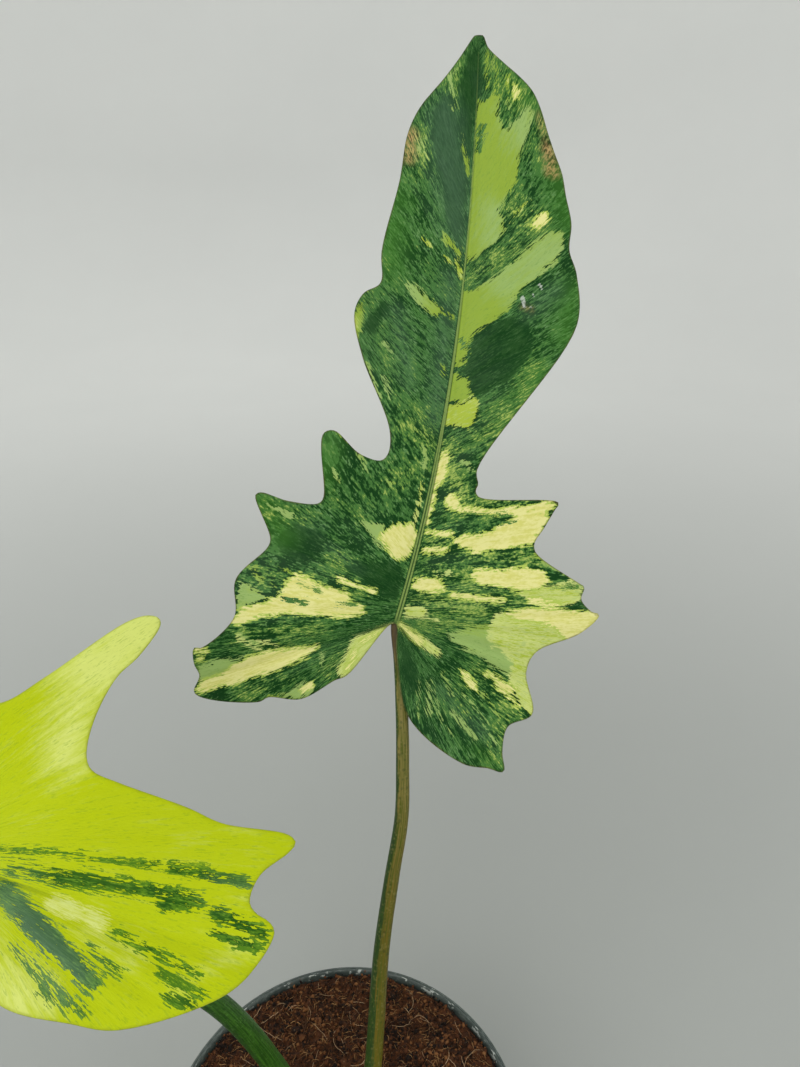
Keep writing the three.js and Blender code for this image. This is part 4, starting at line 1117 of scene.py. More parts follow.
# How thick each petiole is at its foot and at its blade
MAIN_WIDTHS, SECOND_WIDTHS = (5.8, 3.6), (7.0, 5.0)
PETIOLE_SIDES, PETIOLE_STEP = 32, 0.9
# Where the petiole runs behind the blade: the place along it, and a depth as a share of its radius
PETIOLE_END = ((-0.6, 0.8), (3.0, 0.85), (8.0, 0.9))
BEHIND_BLADE = 0.9


def sweep(path, radii, section, reference):
    """Rings round a path. section gives each side's share of the radius; side 0 faces reference."""
    path = np.array(path, float)
    ways = np.gradient(path, axis=0)
    ways /= np.linalg.norm(ways, axis=1)[:, None]
    points = []
    for centre, way, radius in zip(path, ways, radii):
        front = np.array(reference, float) - np.dot(reference, way) * way
        front /= np.linalg.norm(front)
        aside = np.cross(way, front)
        for share, angle in zip(section, np.arange(len(section)) / len(section) * TURN):
            points.append(centre + radius * share * (math.cos(angle) * front + math.sin(angle) * aside))
    return np.array(points)


def make_petiole(name, node, points, diameters, form, place, reference, swelling):
    """The petiole rises from the stem and runs out along the back of the midrib."""
    inner = []
    for along, depth in PETIOLE_END:
        across = float(midrib(along, form))
        height = float(face_height(across, along, form)) - BEHIND_BLADE - diameters[1] / 2 * depth
        inner.append(on_blade(across, along, height, place)[0])
    path = smooth_curve([*points, *inner], PETIOLE_STEP)
    share = np.linspace(0, 1, len(path))
    radii = np.interp(share, [0, 1], diameters) / 2
    radii *= 1 + 0.18 * (1 - soft_step(0, 0.05, share)) + swelling * soft_step(0.9, 0.95, share)
    radii *= 1 - 0.55 * soft_step(0.955, 1, share)
    angles = np.arange(PETIOLE_SIDES) / PETIOLE_SIDES * TURN
    section = 1 - 0.07 * np.exp(-(np.minimum(angles, TURN - angles) / 0.5) ** 2)
    shape = sweep(path, radii, section, reference)
    wobble = [1 + 0.02 * noise.noise(Vector(point) * 0.12) for point in shape]
    centres = np.repeat(path, PETIOLE_SIDES, axis=0)
    shape = centres + (shape - centres) * np.array(wobble)[:, None]
    piece = new_piece(name, shape, rings_to_faces(len(path), PETIOLE_SIDES, True), node, node)
    keep_on(piece, run=np.repeat(share * (len(path) - 1) * PETIOLE_STEP, PETIOLE_SIDES),
            share=np.repeat(share, PETIOLE_SIDES), around=np.tile(np.cos(angles), len(path)),
            aside=np.tile(-np.sin(angles), len(path)))
    return piece


petiole_main = make_petiole(
    "stalk_main", "petiole_main", MAIN_PETIOLE, MAIN_WIDTHS, MAIN_FORM, MAIN_PLACE,
    (0.0, -1.0, 0.4), -0.08)
petiole_second = make_petiole(
    "stalk_second", "petiole_second", SECOND_PETIOLE, SECOND_WIDTHS, SECOND_FORM, SECOND_PLACE,
    (0.3, -0.9, 0.3), -0.05)

# %% [markdown]
# The petioles' finish is a base colour that changes along and around the stalk, with fine streaks
# along it, pale pores and darker pits. The sine of the angle around the stalk tells left from
# right, so the shaded side gets its own green. The long petiole's top turns reddish brown.

# %% Finish of the petioles
def finish_petiole(piece, name, sunny, shaded, pores, strip, top):
    """strip is where the shaded side begins, as the sine of the angle, at the foot and the top."""
    tree = new_material(name, piece)
    share, run, around, aside = (stored(tree, kept) for kept in ("share", "run", "around", "aside"))
    long = streaked(tree, weighed(tree, (around, 6.0), (aside, 6.0)), run, 0.9, 14.0)
    short = streaked(tree, weighed(tree, (around, 6.0), (aside, -6.0)), run, 0.5, 2.2, 5.0)
    border = maths(tree, "ADD", ramped(tree, share, 0.0, 1.0, *strip),
                   times(tree, maths(tree, "SUBTRACT", long, 0.5), 0.35))
    shade_side = ramped(tree, maths(tree, "SUBTRACT", aside, border), -0.12, 0.12)
    lit = mixed(tree, ramped(tree, share, 0.3, 0.8), sunny[1], sunny[2])
    first = mixed(tree, ramped(tree, long, 0.2, 0.8), sunny[0], lit)
    second = mixed(tree, ramped(tree, short, 0.25, 0.75), shaded[0], shaded[1])
    shade = mixed(tree, shade_side, first, second)
    place = place_in(tree)
    dots = times(tree, specked(tree, place, 0.0012, 0.6, 0.14), ramped(tree, short, 0.3, 0.7, 0.1, 0.6))
    shade = mixed(tree, times(tree, dots, 0.6), shade, pores)
    shade = mixed(tree, times(tree, specked(tree, place, 0.0017, 0.5, 0.12), 0.45), shade, shaded[0])
    shade = mixed(tree, ramped(tree, share, 0.84, 0.92, 0.0, 0.8), shade, top)
    finish_surface(tree, shade, ramped(tree, short, 0.0, 1.0, 0.34, 0.5), maths(tree, "ADD", long, dots),
                   0.00015, 0.5, 0.22)
    print(name, "has", len(tree.nodes), "nodes")


finish_petiole(
    petiole_main, "petiole_main", (colour(80, 88, 16), colour(108, 92, 14), colour(134, 122, 64)),
    (colour(34, 58, 14), colour(56, 82, 24)), colour(150, 138, 80), (0.1, 0.8), colour(66, 46, 34))
finish_petiole(
    petiole_second, "petiole_second", (colour(34, 74, 14), colour(62, 108, 30), colour(62, 104, 32)),
    (colour(26, 60, 12), colour(48, 92, 26)), colour(96, 142, 66), (0.3, 0.3), colour(96, 120, 52))

# %% [markdown]
# ## Stem
#
# The photograph's lower edge hides the stem, so it follows the habit of such a plant: a short
# green stem with a swollen node, a clasping foot under each petiole, a rolled new leaf at the top
# and the first root nubs. Separate tubes are joined into one skin by a voxel remesh, which rounds
# every joint as living tissue does.

# %% Stem
STEM_AXIS = (0, -6)
STEM_FOOT, STEM_TOP, BUD_TOP = 62, 106, 123
STEM_RADIUS = 5.4
STEM_VOXEL, STEM_RIPPLE = 0.5, 0.12
NUBS = ((-70, 102), (115, 101.5), (205, 102.5))


def tube_mesh(points, radii, sides=20, step=0.8):
    """Points and faces of a closed tube through a few places, with a radius at each of them."""
    path = smooth_curve(points, step)
    share = np.linspace(0, 1, len(path))
    sizes = np.interp(share, np.linspace(0, 1, len(radii)), radii)
    shape = sweep(path, sizes, np.ones(sides), (0.2, -1.0, 0.15))
    return shape, rings_to_faces(len(path), sides, True)


def stem_parts():
    x, y = STEM_AXIS
    body = [(x, y, z) for z in np.linspace(STEM_FOOT, STEM_TOP, 12)]
    radii = [STEM_RADIUS - 1.4, *[STEM_RADIUS - 0.5] * 7, STEM_RADIUS, STEM_RADIUS - 0.3,
             STEM_RADIUS - 0.6, STEM_RADIUS - 2.6]
    yield tube_mesh(body, radii, 32)
    for path, width in ((MAIN_PETIOLE, MAIN_WIDTHS[0]), (SECOND_PETIOLE, SECOND_WIDTHS[0])):
        first, second = np.array(path[0], float), np.array(path[1], float)
        way = (second - first) / np.linalg.norm(second - first)
        stub = [(x, y, first[2] - 12), first - 4 * way, first + 0.5 * way]
        yield tube_mesh(stub, [0.66 * width, 0.6 * width, 0.56 * width])
    bud = [(x, y, STEM_TOP - 5), (x, y - 1.5, STEM_TOP + 6), (x, y - 5, BUD_TOP)]
    yield tube_mesh(bud, [2.6, 2.5, 1.6, 0.5])
    for degrees, height in NUBS:
        right, up = bearing(degrees)
        nub = [(x + reach * right, y + reach * up, height - drop)
               for reach, drop in ((2, 0), (7, 0), (10, 0.8))]
        yield tube_mesh(nub, [1.3, 1.2, 0.7], 12)


def make_stem():
    points, faces = [], []
    for shape, sides in stem_parts():
        faces += shifted(sides, len(points))
        points += list(shape)
    piece = new_piece("short_stem", points, faces, "stem", "stem")
    remesh = piece.modifiers.new("one skin", "REMESH")
    remesh.mode = "VOXEL"
    remesh.voxel_size = STEM_VOXEL * MM
    rounding = piece.modifiers.new("rounding", "SMOOTH")
    rounding.iterations = 4
    shaped = apply_modifiers(piece)
    for vertex in shaped.vertices:
        ripple = noise.noise(vertex.co * 900) + 0.5 * noise.noise(vertex.co * 2500)
        vertex.co += vertex.normal * ripple * STEM_RIPPLE * MM
    shaped.shade_smooth()
    print("stem skin:", len(shaped.polygons), "faces")
    return piece


stem = make_stem()


def finish_stem():
    tree = new_material("stem", stem)
    place = place_in(tree)
    height = put(tree, "ShaderNodeSeparateXYZ", {"Vector": place}).outputs["Z"]
    blotch = clouds(tree, place, 220.0, 4.0, 0.6)
    shade = mixed(tree, ramped(tree, blotch, 0.35, 0.65), colour(70, 108, 48), colour(108, 134, 66))
    old = ramped(tree, weighed(tree, (height, 1.0), (blotch, 0.006)), 0.097, 0.108, 0.75, 0.0)
    shade = mixed(tree, old, shade, colour(112, 84, 50))
    dots = specked(tree, place, 0.0013, 0.5, 0.1)
    shade = mixed(tree, times(tree, dots, 0.5), shade, colour(164, 160, 104))
    finish_surface(tree, shade, ramped(tree, blotch, 0.3, 0.7, 0.42, 0.6), maths(tree, "ADD", blotch, dots),
                   0.0002, 0.5)
    print("stem has", len(tree.nodes), "nodes")


finish_stem()

# %% [markdown]
# ## Pot
#
# The pot is moulded in thin grey-green plastic: a wall that leans out, a lip with a skirt that
# hangs clear of the wall, a pad and a ring to stand on, and six drain holes. It is turned from
# one profile, like the solid, but with rounded edges, a fine groove along the lip and 192 sides,
# so that the rim is smooth even close up. The drain holes are cut with a boolean, since they
# don't follow the turning.

# %% Pot
POT_HEIGHT, RIM_RADIUS, LIP_WIDTH, WALL, FOOT_RADIUS = 100, 60, 2.1, 1.4, 41.5
SKIRT_DEPTH, SKIRT_THICKNESS = 8, 1.1
PAD_RADIUS, RING_INSIDE, CHANNEL_RISE, FLOOR_THICKNESS = 12, 32.5, 2, 1.6
DRAIN_RADIUS, DRAIN_RING_RADIUS, DRAIN_COUNT = 4, 22, 6
DRAIN_SIDES, DRAIN_CUT, DRAIN_MIDDLE = 32, 8, 3
POT_SIDES, SHARP_ANGLE = 192, 40


def inner_radius(height):
    return FOOT_RADIUS - WALL + (RIM_RADIUS - LIP_WIDTH - FOOT_RADIUS + WALL) * height / POT_HEIGHT


def pot_profile():
    """Radius and height from the middle of the underside, out, up over the lip and back inside."""
    channel_top = CHANNEL_RISE + FLOOR_THICKNESS
    skirt_foot = POT_HEIGHT - SKIRT_DEPTH
    skirt_inside = RIM_RADIUS - SKIRT_THICKNESS
    profile = [
        (0, 0), (6, 0), (PAD_RADIUS - 0.3, 0), (PAD_RADIUS, 0.3), (PAD_RADIUS + 1, CHANNEL_RISE),
        (DRAIN_RING_RADIUS, CHANNEL_RISE), (RING_INSIDE - 1, CHANNEL_RISE), (RING_INSIDE, 0.3),
        (RING_INSIDE + 0.3, 0), (37, 0), (FOOT_RADIUS - 0.9, 0), (FOOT_RADIUS - 0.3, 0.25),
        (FOOT_RADIUS, 0.9),
    ]
    profile += [(inner_radius(z) + WALL, z) for z in (6, 12, 12.6, 13.4, 14)]
    profile += [(inner_radius(z) + WALL, z) for z in np.linspace(20, skirt_foot, 8)]
    profile += [
        (inner_radius(97) + WALL - 0.15, 97), (inner_radius(98) + WALL - 0.1, 97.8),
        (skirt_inside - 0.4, 98), (skirt_inside - 0.1, 97.6), (skirt_inside - 0.3, skirt_foot + 0.4),
        (skirt_inside, skirt_foot), (RIM_RADIUS - 0.8, skirt_foot), (RIM_RADIUS - 0.55, skirt_foot + 0.3),
        (RIM_RADIUS - 0.1, POT_HEIGHT - 2), (RIM_RADIUS, POT_HEIGHT - 0.9),
        (RIM_RADIUS - 0.15, POT_HEIGHT - 0.35), (RIM_RADIUS - 0.4, POT_HEIGHT - 0.08),
        (RIM_RADIUS - 0.75, POT_HEIGHT), (RIM_RADIUS - 0.95, POT_HEIGHT - 0.06),
        (RIM_RADIUS - 1.1, POT_HEIGHT - 0.3), (RIM_RADIUS - 1.25, POT_HEIGHT - 0.3),
        (RIM_RADIUS - 1.4, POT_HEIGHT - 0.06), (inner_radius(100) + 0.5, POT_HEIGHT - 0.04),
        (inner_radius(100) + 0.2, POT_HEIGHT - 0.3), (inner_radius(100), POT_HEIGHT - 0.8),
    ]
    profile += [(inner_radius(z), z) for z in (96, 90, 70, 40, channel_top)]
    profile += [
        (inner_radius(0) - 2.5, FLOOR_THICKNESS), (RING_INSIDE, FLOOR_THICKNESS),
        (RING_INSIDE - 1, channel_top), (PAD_RADIUS + 1, channel_top), (PAD_RADIUS, FLOOR_THICKNESS),
        (0, FLOOR_THICKNESS),
    ]
    return profile


def turned(profile, sides):
    """Points and faces of a profile turned about the pot's axis; it starts and ends on the axis."""
    angles = np.arange(sides) / sides * TURN
    rings = [(radius * np.cos(angles), radius * np.sin(angles), np.full(sides, height))
             for radius, height in profile[1:-1]]
    points = np.concatenate([np.stack(ring, axis=1) for ring in rings])
    faces = rings_to_faces(len(rings), sides)
    first, last = len(points), len(points) + 1
    points = np.vstack([points, [(0, 0, profile[0][1]), (0, 0, profile[-1][1])]])
    top = (len(rings) - 1) * sides
    for side in range(sides):
        after = (side + 1) % sides
        faces.append((first, after, side))
        faces.append((last, top + side, top + after))
    return points, faces


def make_pot():
    pot = new_piece("nursery_pot", *turned(pot_profile(), POT_SIDES), "pot", "pot")
    cutters = bmesh.new()
    for hole in range(DRAIN_COUNT):
        angle = hole / DRAIN_COUNT * TURN
        made = bmesh.ops.create_cone(
            cutters, cap_ends=True, segments=DRAIN_SIDES, radius1=DRAIN_RADIUS * MM,
            radius2=DRAIN_RADIUS * MM, depth=DRAIN_CUT * MM)
        x, y = DRAIN_RING_RADIUS * math.cos(angle), DRAIN_RING_RADIUS * math.sin(angle)
        bmesh.ops.translate(cutters, verts=made["verts"], vec=Vector((x, y, DRAIN_MIDDLE)) * MM)
    mesh = bpy.data.meshes.new("drains")
    cutters.to_mesh(mesh)
    cutters.free()
    drains = add_object("drains", mesh)
    cut = pot.modifiers.new("drains", "BOOLEAN")
    cut.object = drains
    cut.operation = "DIFFERENCE"
    shaped = apply_modifiers(pot)
    bpy.data.objects.remove(drains)
    shaped.shade_smooth()
    shaped.set_sharp_from_angle(angle=math.radians(SHARP_ANGLE))
    print("pot after cutting its drains:", len(shaped.polygons), "faces")
    return pot


pot = make_pot()

# %% [markdown]
# The plastic is a dull grey-green with a fine moulded grain. The rim has the wear that handling
# and watering leave: pale scuffs and white flecks of lime, drawn out along the rim and thickest
# on its inner half, and crumbs of coir dust here and there on the wall. Masks for these come from
# the height, the distance from the axis and the shared groups.

# %% Finish of the pot
def finish_pot():
    tree = new_material("pot", pot)
    place = place_in(tree)
    parts = put(tree, "ShaderNodeSeparateXYZ", {"Vector": place}).outputs
    flat = put(tree, "ShaderNodeCombineXYZ", {"X": parts["X"], "Y": parts["Y"]}).outputs[0]
    radius = put(tree, "ShaderNodeVectorMath", {0: flat}, operation="LENGTH").outputs["Value"]
    radius = times(tree, radius, 1000.0)
    round_rim = times(tree, maths(tree, "ARCTAN2", parts["Y"], parts["X"]), float(RIM_RADIUS))
    cloud = clouds(tree, place, 45.0, 5.0, 0.6)
    shade = mixed(tree, ramped(tree, cloud, 0.3, 0.7), colour(60, 70, 66), colour(78, 88, 82))
    film = times(tree, ramped(tree, clouds(tree, place, 260.0, 4.0, 0.7), 0.45, 0.75),
                 ramped(tree, parts["Z"], 0.06, 0.1, 0.25, 0.5))
    shade = mixed(tree, times(tree, film, 0.6), shade, colour(118, 128, 120))
    rim = ramped(tree, parts["Z"], 0.0975, 0.0995)
    wear = streaked(tree, radius, round_rim, 0.5, 2.6)
    shade = mixed(tree, times(tree, ramped(tree, wear, 0.5, 0.8), rim, 0.4), shade, colour(124, 134, 128))
    inner = ramped(tree, radius, RIM_RADIUS - 1.6, RIM_RADIUS - 1.1, 1.0, 0.25)
    patches = ramped(tree, clouds(tree, place, 110.0, 1.0), 0.46, 0.6)
    lime = ramped(tree, weighed(tree, (wear, 0.7), (patches, 0.3), (inner, 0.2)), 0.92, 0.98)
    lime = times(tree, lime, rim)
    shade = mixed(tree, times(tree, lime, 0.85), shade, colour(206, 212, 204))
    crumbs = times(tree, specked(tree, place, 0.0034, 0.3, 0.04),
                   ramped(tree, clouds(tree, place, 30.0), 0.5, 0.6))
    shade = mixed(tree, crumbs, shade, colour(84, 58, 40))
    rough = weighed(tree, (ramped(tree, cloud, 0.3, 0.7, 0.42, 0.56), 1.0), (film, 0.3))
    grain = weighed(tree, (clouds(tree, place, 2600.0), 1.0), (lime, 1.5))
    finish_surface(tree, shade, rough, grain, 0.00008, 0.6)
    print("pot has", len(tree.nodes), "nodes")


finish_pot()

# %% [markdown]
# ## Coir
#
# The pot is filled with coir, the husk of coconuts: reddish-brown crumbs and chips with pale curly
# fibres. A bump map alone looks like sand paper from close by, so the relief is built in layers:
# a surface with the solid's own gentle lumps, raised a little to the height that the photograph
# shows, and a rough crumbly skin, then loose crumbs and flat chips on top, and strands and fibres
# as real thin tubes. All random draws come from one seeded source.

# %% Surface of the coir
COIR_EDGE, COIR_MIDDLE, COIR_LUMP, COIR_LUMP_COUNT, COIR_SEED = 98.9, 99, 1.2, 90, 41
COIR_STEP, COIR_CLEARANCE = 0.62, 0.3
COIR_RIM_SIDES, HOLE_SIDES = 360, 60
CLOD_RISE, CRUMB_RISE, CELL_RISE, EDGE_DIP = 0.9, 0.9, 0.45, 1.8
STEM_HOLE = 5.8
# The rule that the solid's lumps were drawn with: factor, step and size
DRAW_FACTOR, DRAW_STEP, DRAW_SIZE = 1664525, 1013904223, 4294967296


def coir_lumps():
    """Lumps in the same repeatable places as on the solid."""
    state = COIR_SEED

    def draw():
        nonlocal state
        state = (state * DRAW_FACTOR + DRAW_STEP) % DRAW_SIZE
        return state / DRAW_SIZE
    lumps = []
    for _ in range(COIR_LUMP_COUNT):
        radius, angle = 52 * math.sqrt(draw()), TURN * draw()
        size, rise = 3.5 + 4 * draw(), COIR_LUMP * (1.6 * draw() - 0.6)
        lumps.append((radius * math.cos(angle), radius * math.sin(angle), size, rise))
    return lumps


LUMPS = coir_lumps()


def coir_height(x, y):
    """Height of the coir's gentle relief."""
    x, y = np.asarray(x, float), np.asarray(y, float)
    radius = np.hypot(x, y)
    height = COIR_MIDDLE + (COIR_EDGE - COIR_MIDDLE) * soft_step(20, 56, radius)
    for lump_x, lump_y, size, rise in LUMPS:
        away = np.hypot(x - lump_x, y - lump_y) / size
        height = height + rise * np.exp(-away ** 2) * soft_step(57, 50, radius)
    return height


def crumble(x, y):
    """Rough skin: clods of about 4 mm with crumbs of about 1 mm on them."""
    clods = noise.noise(Vector((x * 0.27, y * 0.27, 3)))
    cell = noise.cell_vector(Vector((x * 0.9, y * 0.9, 1)))[0]
    crumbs = noise.noise(Vector((x * 0.8, y * 0.8, 7)))
    return CLOD_RISE * clods + CRUMB_RISE * crumbs + CELL_RISE * (cell - 0.5)


def from_stem(places):
    return np.hypot(places[:, 0] - STEM_AXIS[0], places[:, 1] - STEM_AXIS[1])


def coir_net(edge):
    """The rim of the coir, and that rim with an even net and two close rings at the stem's hole."""
    rows = np.arange(-edge, edge, COIR_STEP * math.sqrt(0.75))
    net = np.array([(x + row % 2 * COIR_STEP / 2, y) for row, y in enumerate(rows)
                    for x in np.arange(-edge, edge, COIR_STEP)])
    net = net[(np.hypot(*net.T) < edge - 0.4) & (abs(from_stem(net) - STEM_HOLE) > 0.5)]
    angles = np.arange(COIR_RIM_SIDES) / COIR_RIM_SIDES * TURN
    rim = edge * np.stack([np.cos(angles), np.sin(angles)], axis=1)
    wells = [(STEM_AXIS[0] + r * math.cos(a), STEM_AXIS[1] + r * math.sin(a))
             for r in (STEM_HOLE + 0.25, STEM_HOLE - 0.1) for a in np.arange(HOLE_SIDES) / HOLE_SIDES * TURN]
    return rim, np.vstack([rim, net, wells])


def coir_top(flat, edge):
    """Height of the finished coir, which dips at the wall and drops into the stem's hole."""
    height, radius = coir_height(*flat.T), np.hypot(*flat.T)
    height += np.array([crumble(x, y) for x, y in flat]) * soft_step(edge + 0.3, edge - 1.2, radius)
    height -= EDGE_DIP * soft_step(edge - 1.2, edge - 0.2, radius)
    return np.where(from_stem(flat) < STEM_HOLE, STEM_FOOT - COIR_CLEARANCE, height)


def make_coir():
    edge = inner_radius(COIR_EDGE) - COIR_CLEARANCE
    rim, every = coir_net(edge)
    made = delaunay_2d_cdt([Vector(p) for p in every], [], [list(range(len(rim)))], 1, 1e-5)
    flat, faces = np.array([tuple(p) for p in made[0]]), [tuple(face) for face in made[2]]
    if np.cross(flat[faces[0][1]] - flat[faces[0][0]], flat[faces[0][2]] - flat[faces[0][0]]) < 0:
        faces = [face[::-1] for face in faces]
    points, count = list(np.column_stack([flat, coir_top(flat, edge)])), len(rim)
    bottom = CHANNEL_RISE + FLOOR_THICKNESS + COIR_CLEARANCE
    start = 0
    for level in (bottom + 1, bottom):
        shrink = (inner_radius(level) - COIR_CLEARANCE - (level == bottom)) / edge
        ring = len(points)
        points += [(x * shrink, y * shrink, level) for x, y in rim]
        faces += [(start + i, ring + i, ring + (i + 1) % count, start + (i + 1) % count)
                  for i in range(count)]
        start = ring
    faces.append(tuple(start + i for i in range(count))[::-1])
    return new_piece("coir_plug", points, faces, "coir", "soil")


soil = make_coir()

# %% [markdown]
# Crumbs and chips are small lumps, each a squashed and dented ball with its own size, turn and
# tint. They lie half sunk in the surface. Short strands and longer fibres start somewhere on the
# coir and wander with a slowly changing turn, some flat and some rising in an arch. They are tubes
# of three or four sides, fine enough to read as hair and real enough to cast shadows.

# %% Loose crumbs, chips and fibres
SOIL_SEED = 7
CRUMB_COUNT, CHIP_COUNT, FIBRE_COUNT, STRAND_COUNT = 9600, 90, 260, 4200
WALL_MARGIN, TUBE_END = 1.5, 0.03
draw = random.Random(SOIL_SEED)
BALL = bmesh.new()
bmesh.ops.create_icosphere(BALL, subdivisions=1, radius=1)
BALL_POINTS = np.array([vertex.co[:] for vertex in BALL.verts])
BALL_FACES = [tuple(vertex.index for vertex in face.verts) for face in BALL.faces]
BALL.free()


def spot_on_coir(margin):
    """A random place on the coir, clear of the wall and the stem."""
    while True:
        radius = (inner_radius(COIR_EDGE) - margin) * math.sqrt(draw.random())
        angle = draw.uniform(0, TURN)
        x, y = radius * math.cos(angle), radius * math.sin(angle)
        if math.hypot(x - STEM_AXIS[0], y - STEM_AXIS[1]) > STEM_HOLE + 1:
            return x, y


def ground(x, y):
    return float(coir_height(x, y)) + crumble(x, y)


def make_lumps(name, count, sizes, flatness, margin):
    """Many dented balls in one piece, with a tint for each."""
    points, faces, tints = [], [], []
    for _ in range(count):
        x, y = spot_on_coir(margin)
        size = sizes[0] * (sizes[1] / sizes[0]) ** (draw.random() ** 1.6)
        scale = np.array([size, size * draw.uniform(0.5, 1), size * draw.uniform(*flatness)])
        dents = np.array([draw.uniform(0.72, 1.2) for _ in BALL_POINTS])[:, None]
        lump = BALL_POINTS * dents * scale
        spin, lean = draw.uniform(0, TURN), draw.gauss(0, 0.35)
        turn = np.array(Matrix.Rotation(spin, 3, "Z") @ Matrix.Rotation(lean, 3, "X"))
        lump = lump @ turn.T + (x, y, ground(x, y) + 0.25 * scale[2])
        faces += shifted(BALL_FACES, len(points))
        points += lump.tolist()
        tints += [draw.random()] * len(lump)
    piece = new_piece(name, points, faces, "coir")
    keep_on(piece, tint=tints)
    return piece


def make_fibres(name, count, lengths, long_share, step_length, sides, radii):
    """Thin tubes that wander over the coir; a share of them is twice as long and rises more."""
    points, faces, tints = [], [], []
    for _ in range(count):
        x, y = spot_on_coir(WALL_MARGIN)
        heading, bend = draw.uniform(0, TURN), draw.gauss(0, 0.09)
        long = draw.random() < long_share
        length = draw.uniform(*lengths) * (2 if long else 1)
        rise = draw.uniform(0.8, 3) if long else draw.uniform(0.1, 0.8)
        steps = max(5, round(length / step_length))
        path = []
        for step in range(steps):
            lift = rise * math.sin(math.pi * step / (steps - 1))
            path.append((x, y, ground(x, y) + 0.1 + lift))
            bend += draw.gauss(0, 0.05)
            heading += bend
            x, y = x + step_length * math.cos(heading), y + step_length * math.sin(heading)
            if math.hypot(x, y) > inner_radius(COIR_EDGE) - WALL_MARGIN:
                break
            if math.hypot(x - STEM_AXIS[0], y - STEM_AXIS[1]) < STEM_HOLE + 0.5:
                break
        if len(path) < 4:
            continue
        tube_radii = np.full(len(path), draw.uniform(*radii))
        tube_radii[[0, -1]] = TUBE_END
        shape = sweep(path, tube_radii, np.ones(sides), (0.1, 0.2, 1))
        faces += shifted(rings_to_faces(len(path), sides, True), len(points))
        points += shape.tolist()
        tints += [draw.random()] * len(shape)
    piece = new_piece(name, points, faces, "coir")
    keep_on(piece, tint=tints)
    return piece


crumbs = make_lumps("soil_crumbs", CRUMB_COUNT, (0.3, 0.95), (0.5, 1.0), 0.7)
chips = make_lumps("soil_chips", CHIP_COUNT, (1.0, 3.0), (0.2, 0.4), 3)
fibres = make_fibres("soil_fibres", FIBRE_COUNT, (5, 14), 0.16, 1.1, 4, (0.06, 0.14))
strands = make_fibres("soil_strands", STRAND_COUNT, (1.4, 4), 0, 0.8, 3, (0.06, 0.16))

# %% [markdown]
# Coir is never one brown. Its finish mixes dark moist brown, red brown and tan by noise at two
# scales, and each loose lump, strand and fibre shifts the mix by its own tint. The strands and
# fibres use lighter mixes of the same browns.

# %% Finish of the coir
def finish_coir(name, pieces, dark, red, tan, tan_share, loose=True):
    tree = new_material(name, *pieces)
    place = place_in(tree)
    fine = clouds(tree, place, 900.0, 3.0, 0.65)
    tone = weighed(tree, (clouds(tree, place, 130.0, 3.0, 0.6), 0.5), (fine, 0.5))
    if loose:
        tone = weighed(tree, (tone, 0.6), (stored(tree, "tint"), 0.4))
    shade = mixed(tree, ramped(tree, tone, 0.36, 0.58), colour(*dark), colour(*red))
    shade = mixed(tree, ramped(tree, tone, 0.86 - tan_share, 0.98 - tan_share), shade, colour(*tan))
    grains = times(tree, specked(tree, place, 0.0021, 0.24, 0.05), 0.35)
    shade = mixed(tree, grains, shade, colour(150, 122, 92))
    finish_surface(tree, shade, ramped(tree, fine, 0.2, 0.8, 0.7, 0.95), fine, 0.0005, 0.8, 0.25)


finish_coir("coir", [soil], (15, 8, 3), (78, 43, 18), (124, 80, 42), 0.28, loose=False)
finish_coir("coir_lumps", [crumbs, chips], (20, 10, 4), (88, 50, 24), (132, 88, 50), 0.28)
finish_coir("coir_strands", [strands], (42, 23, 9), (108, 68, 36), (170, 130, 84), 0.3)
finish_coir("coir_fibres", [fibres], (80, 52, 32), (130, 96, 66), (184, 152, 116), 0.4)
print("coir finished with", len(bpy.data.materials), "materials in all")

# %% [markdown]
# ## Stage and light
#
# The plant stands on a plain pale floor that curves up all round into a pale bowl, so it looks
# the same from every side and no horizon cuts the view. The floor is painted darker near the
# plant and lighter further out, a painted shade, and the far bowl glows a little, a painted light
# though it is no lamp. One broad soft lamp in front, above and a little to the left makes the
# waxy shine on the leaves, a weaker one on the right opens the shadows, a third lights the plant
# from behind, and the pale world fills in the rest.

# %% Stage and lights
FLOOR_LEVEL, FLOOR_RADIUS, BOWL_RADIUS, BOWL_HEIGHT = -0.2, 1400, 1100, 2600
STAGE_SIDES = 96
LIGHT_AIM = (0, 0, 0.25)


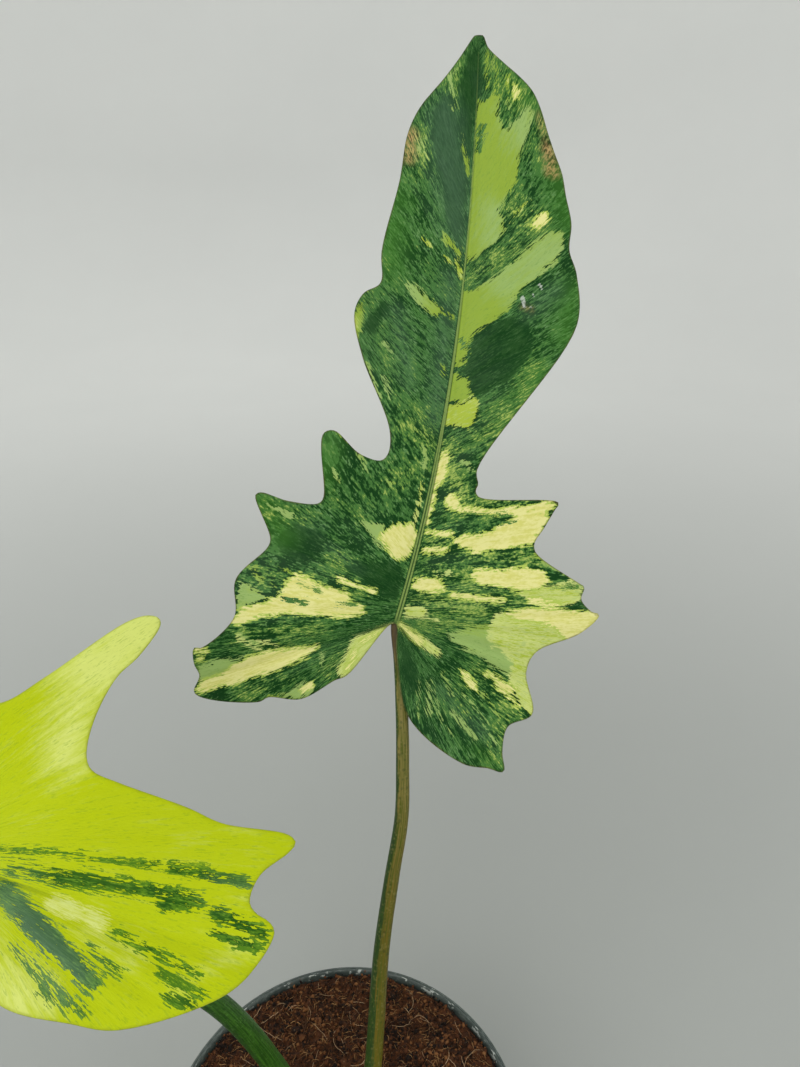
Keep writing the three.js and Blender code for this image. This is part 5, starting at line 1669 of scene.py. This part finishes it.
def make_stage():
    profile = [(radius, FLOOR_LEVEL) for radius in (200, 600, FLOOR_RADIUS)]
    for degrees in range(5, 95, 5):
        angle = math.radians(degrees)
        profile.append((FLOOR_RADIUS + BOWL_RADIUS * math.sin(angle), BOWL_RADIUS * (1 - math.cos(angle))))
    profile.append((FLOOR_RADIUS + BOWL_RADIUS, BOWL_HEIGHT))
    angles = np.arange(STAGE_SIDES) / STAGE_SIDES * TURN
    points = [(r * math.cos(a), r * math.sin(a), z) for r, z in profile for a in angles]
    faces = rings_to_faces(len(profile), STAGE_SIDES)
    faces.append(tuple(range(STAGE_SIDES))[::-1])
    mesh = bpy.data.meshes.new("floor")
    mesh.from_pydata((np.array(points) * MM).tolist(), [], [face[::-1] for face in faces])
    mesh.shade_smooth()
    floor = add_object("floor", mesh)
    return floor


def finish_stage(floor):
    tree = new_material("floor", floor)
    surface = tree.nodes["Principled BSDF"]
    place = place_in(tree)
    away = put(tree, "ShaderNodeVectorMath", {0: place}, operation="LENGTH").outputs["Value"]
    # Painted shade: the floor is darker near the plant and lighter further out
    shade = mixed(tree, ramped(tree, away, 0.1, 1.6), colour(173, 176, 171), colour(238, 239, 235))
    dull = times(tree, clouds(tree, place, 3.0, 3.0, 0.6), 0.1)
    tree.links.new(mixed(tree, dull, shade, colour(150, 155, 152)), surface.inputs["Base Color"])
    surface.inputs["Roughness"].default_value = 0.9
    # Painted light: the far part of the bowl glows, though it is no lamp
    glow = mixed(tree, ramped(tree, away, 1.4, 3.0), colour(0, 0, 0), colour(255, 255, 255))
    tree.links.new(glow, surface.inputs["Emission Color"])
    surface.inputs["Emission Strength"].default_value = 0.09


def soft_light(name, place, size, power):
    lamp = bpy.data.lights.new(name, "AREA")
    lamp.size = size
    lamp.energy = power
    holder = add_object(name, lamp)
    holder.location = place
    holder.rotation_euler = (Vector(LIGHT_AIM) - Vector(place)).to_track_quat("-Z", "Y").to_euler()
    print(name, "lamp of", power, "watts")


finish_stage(make_stage())
soft_light("key", (-0.55, -0.95, 1.35), 1.1, 12.8)
soft_light("fill", (1.2, -0.6, 0.9), 1.2, 4.2)
soft_light("back", (-0.3, 1.3, 1.4), 1.2, 5)

world = bpy.data.worlds.new("soft daylight")
world.use_nodes = True
sky = world.node_tree.nodes["Background"]
sky.inputs["Color"].default_value = (0.96, 0.98, 1.0, 1.0)
sky.inputs["Strength"].default_value = 0.42
bpy.context.scene.world = world
bpy.context.scene.view_settings.view_transform = "Standard"
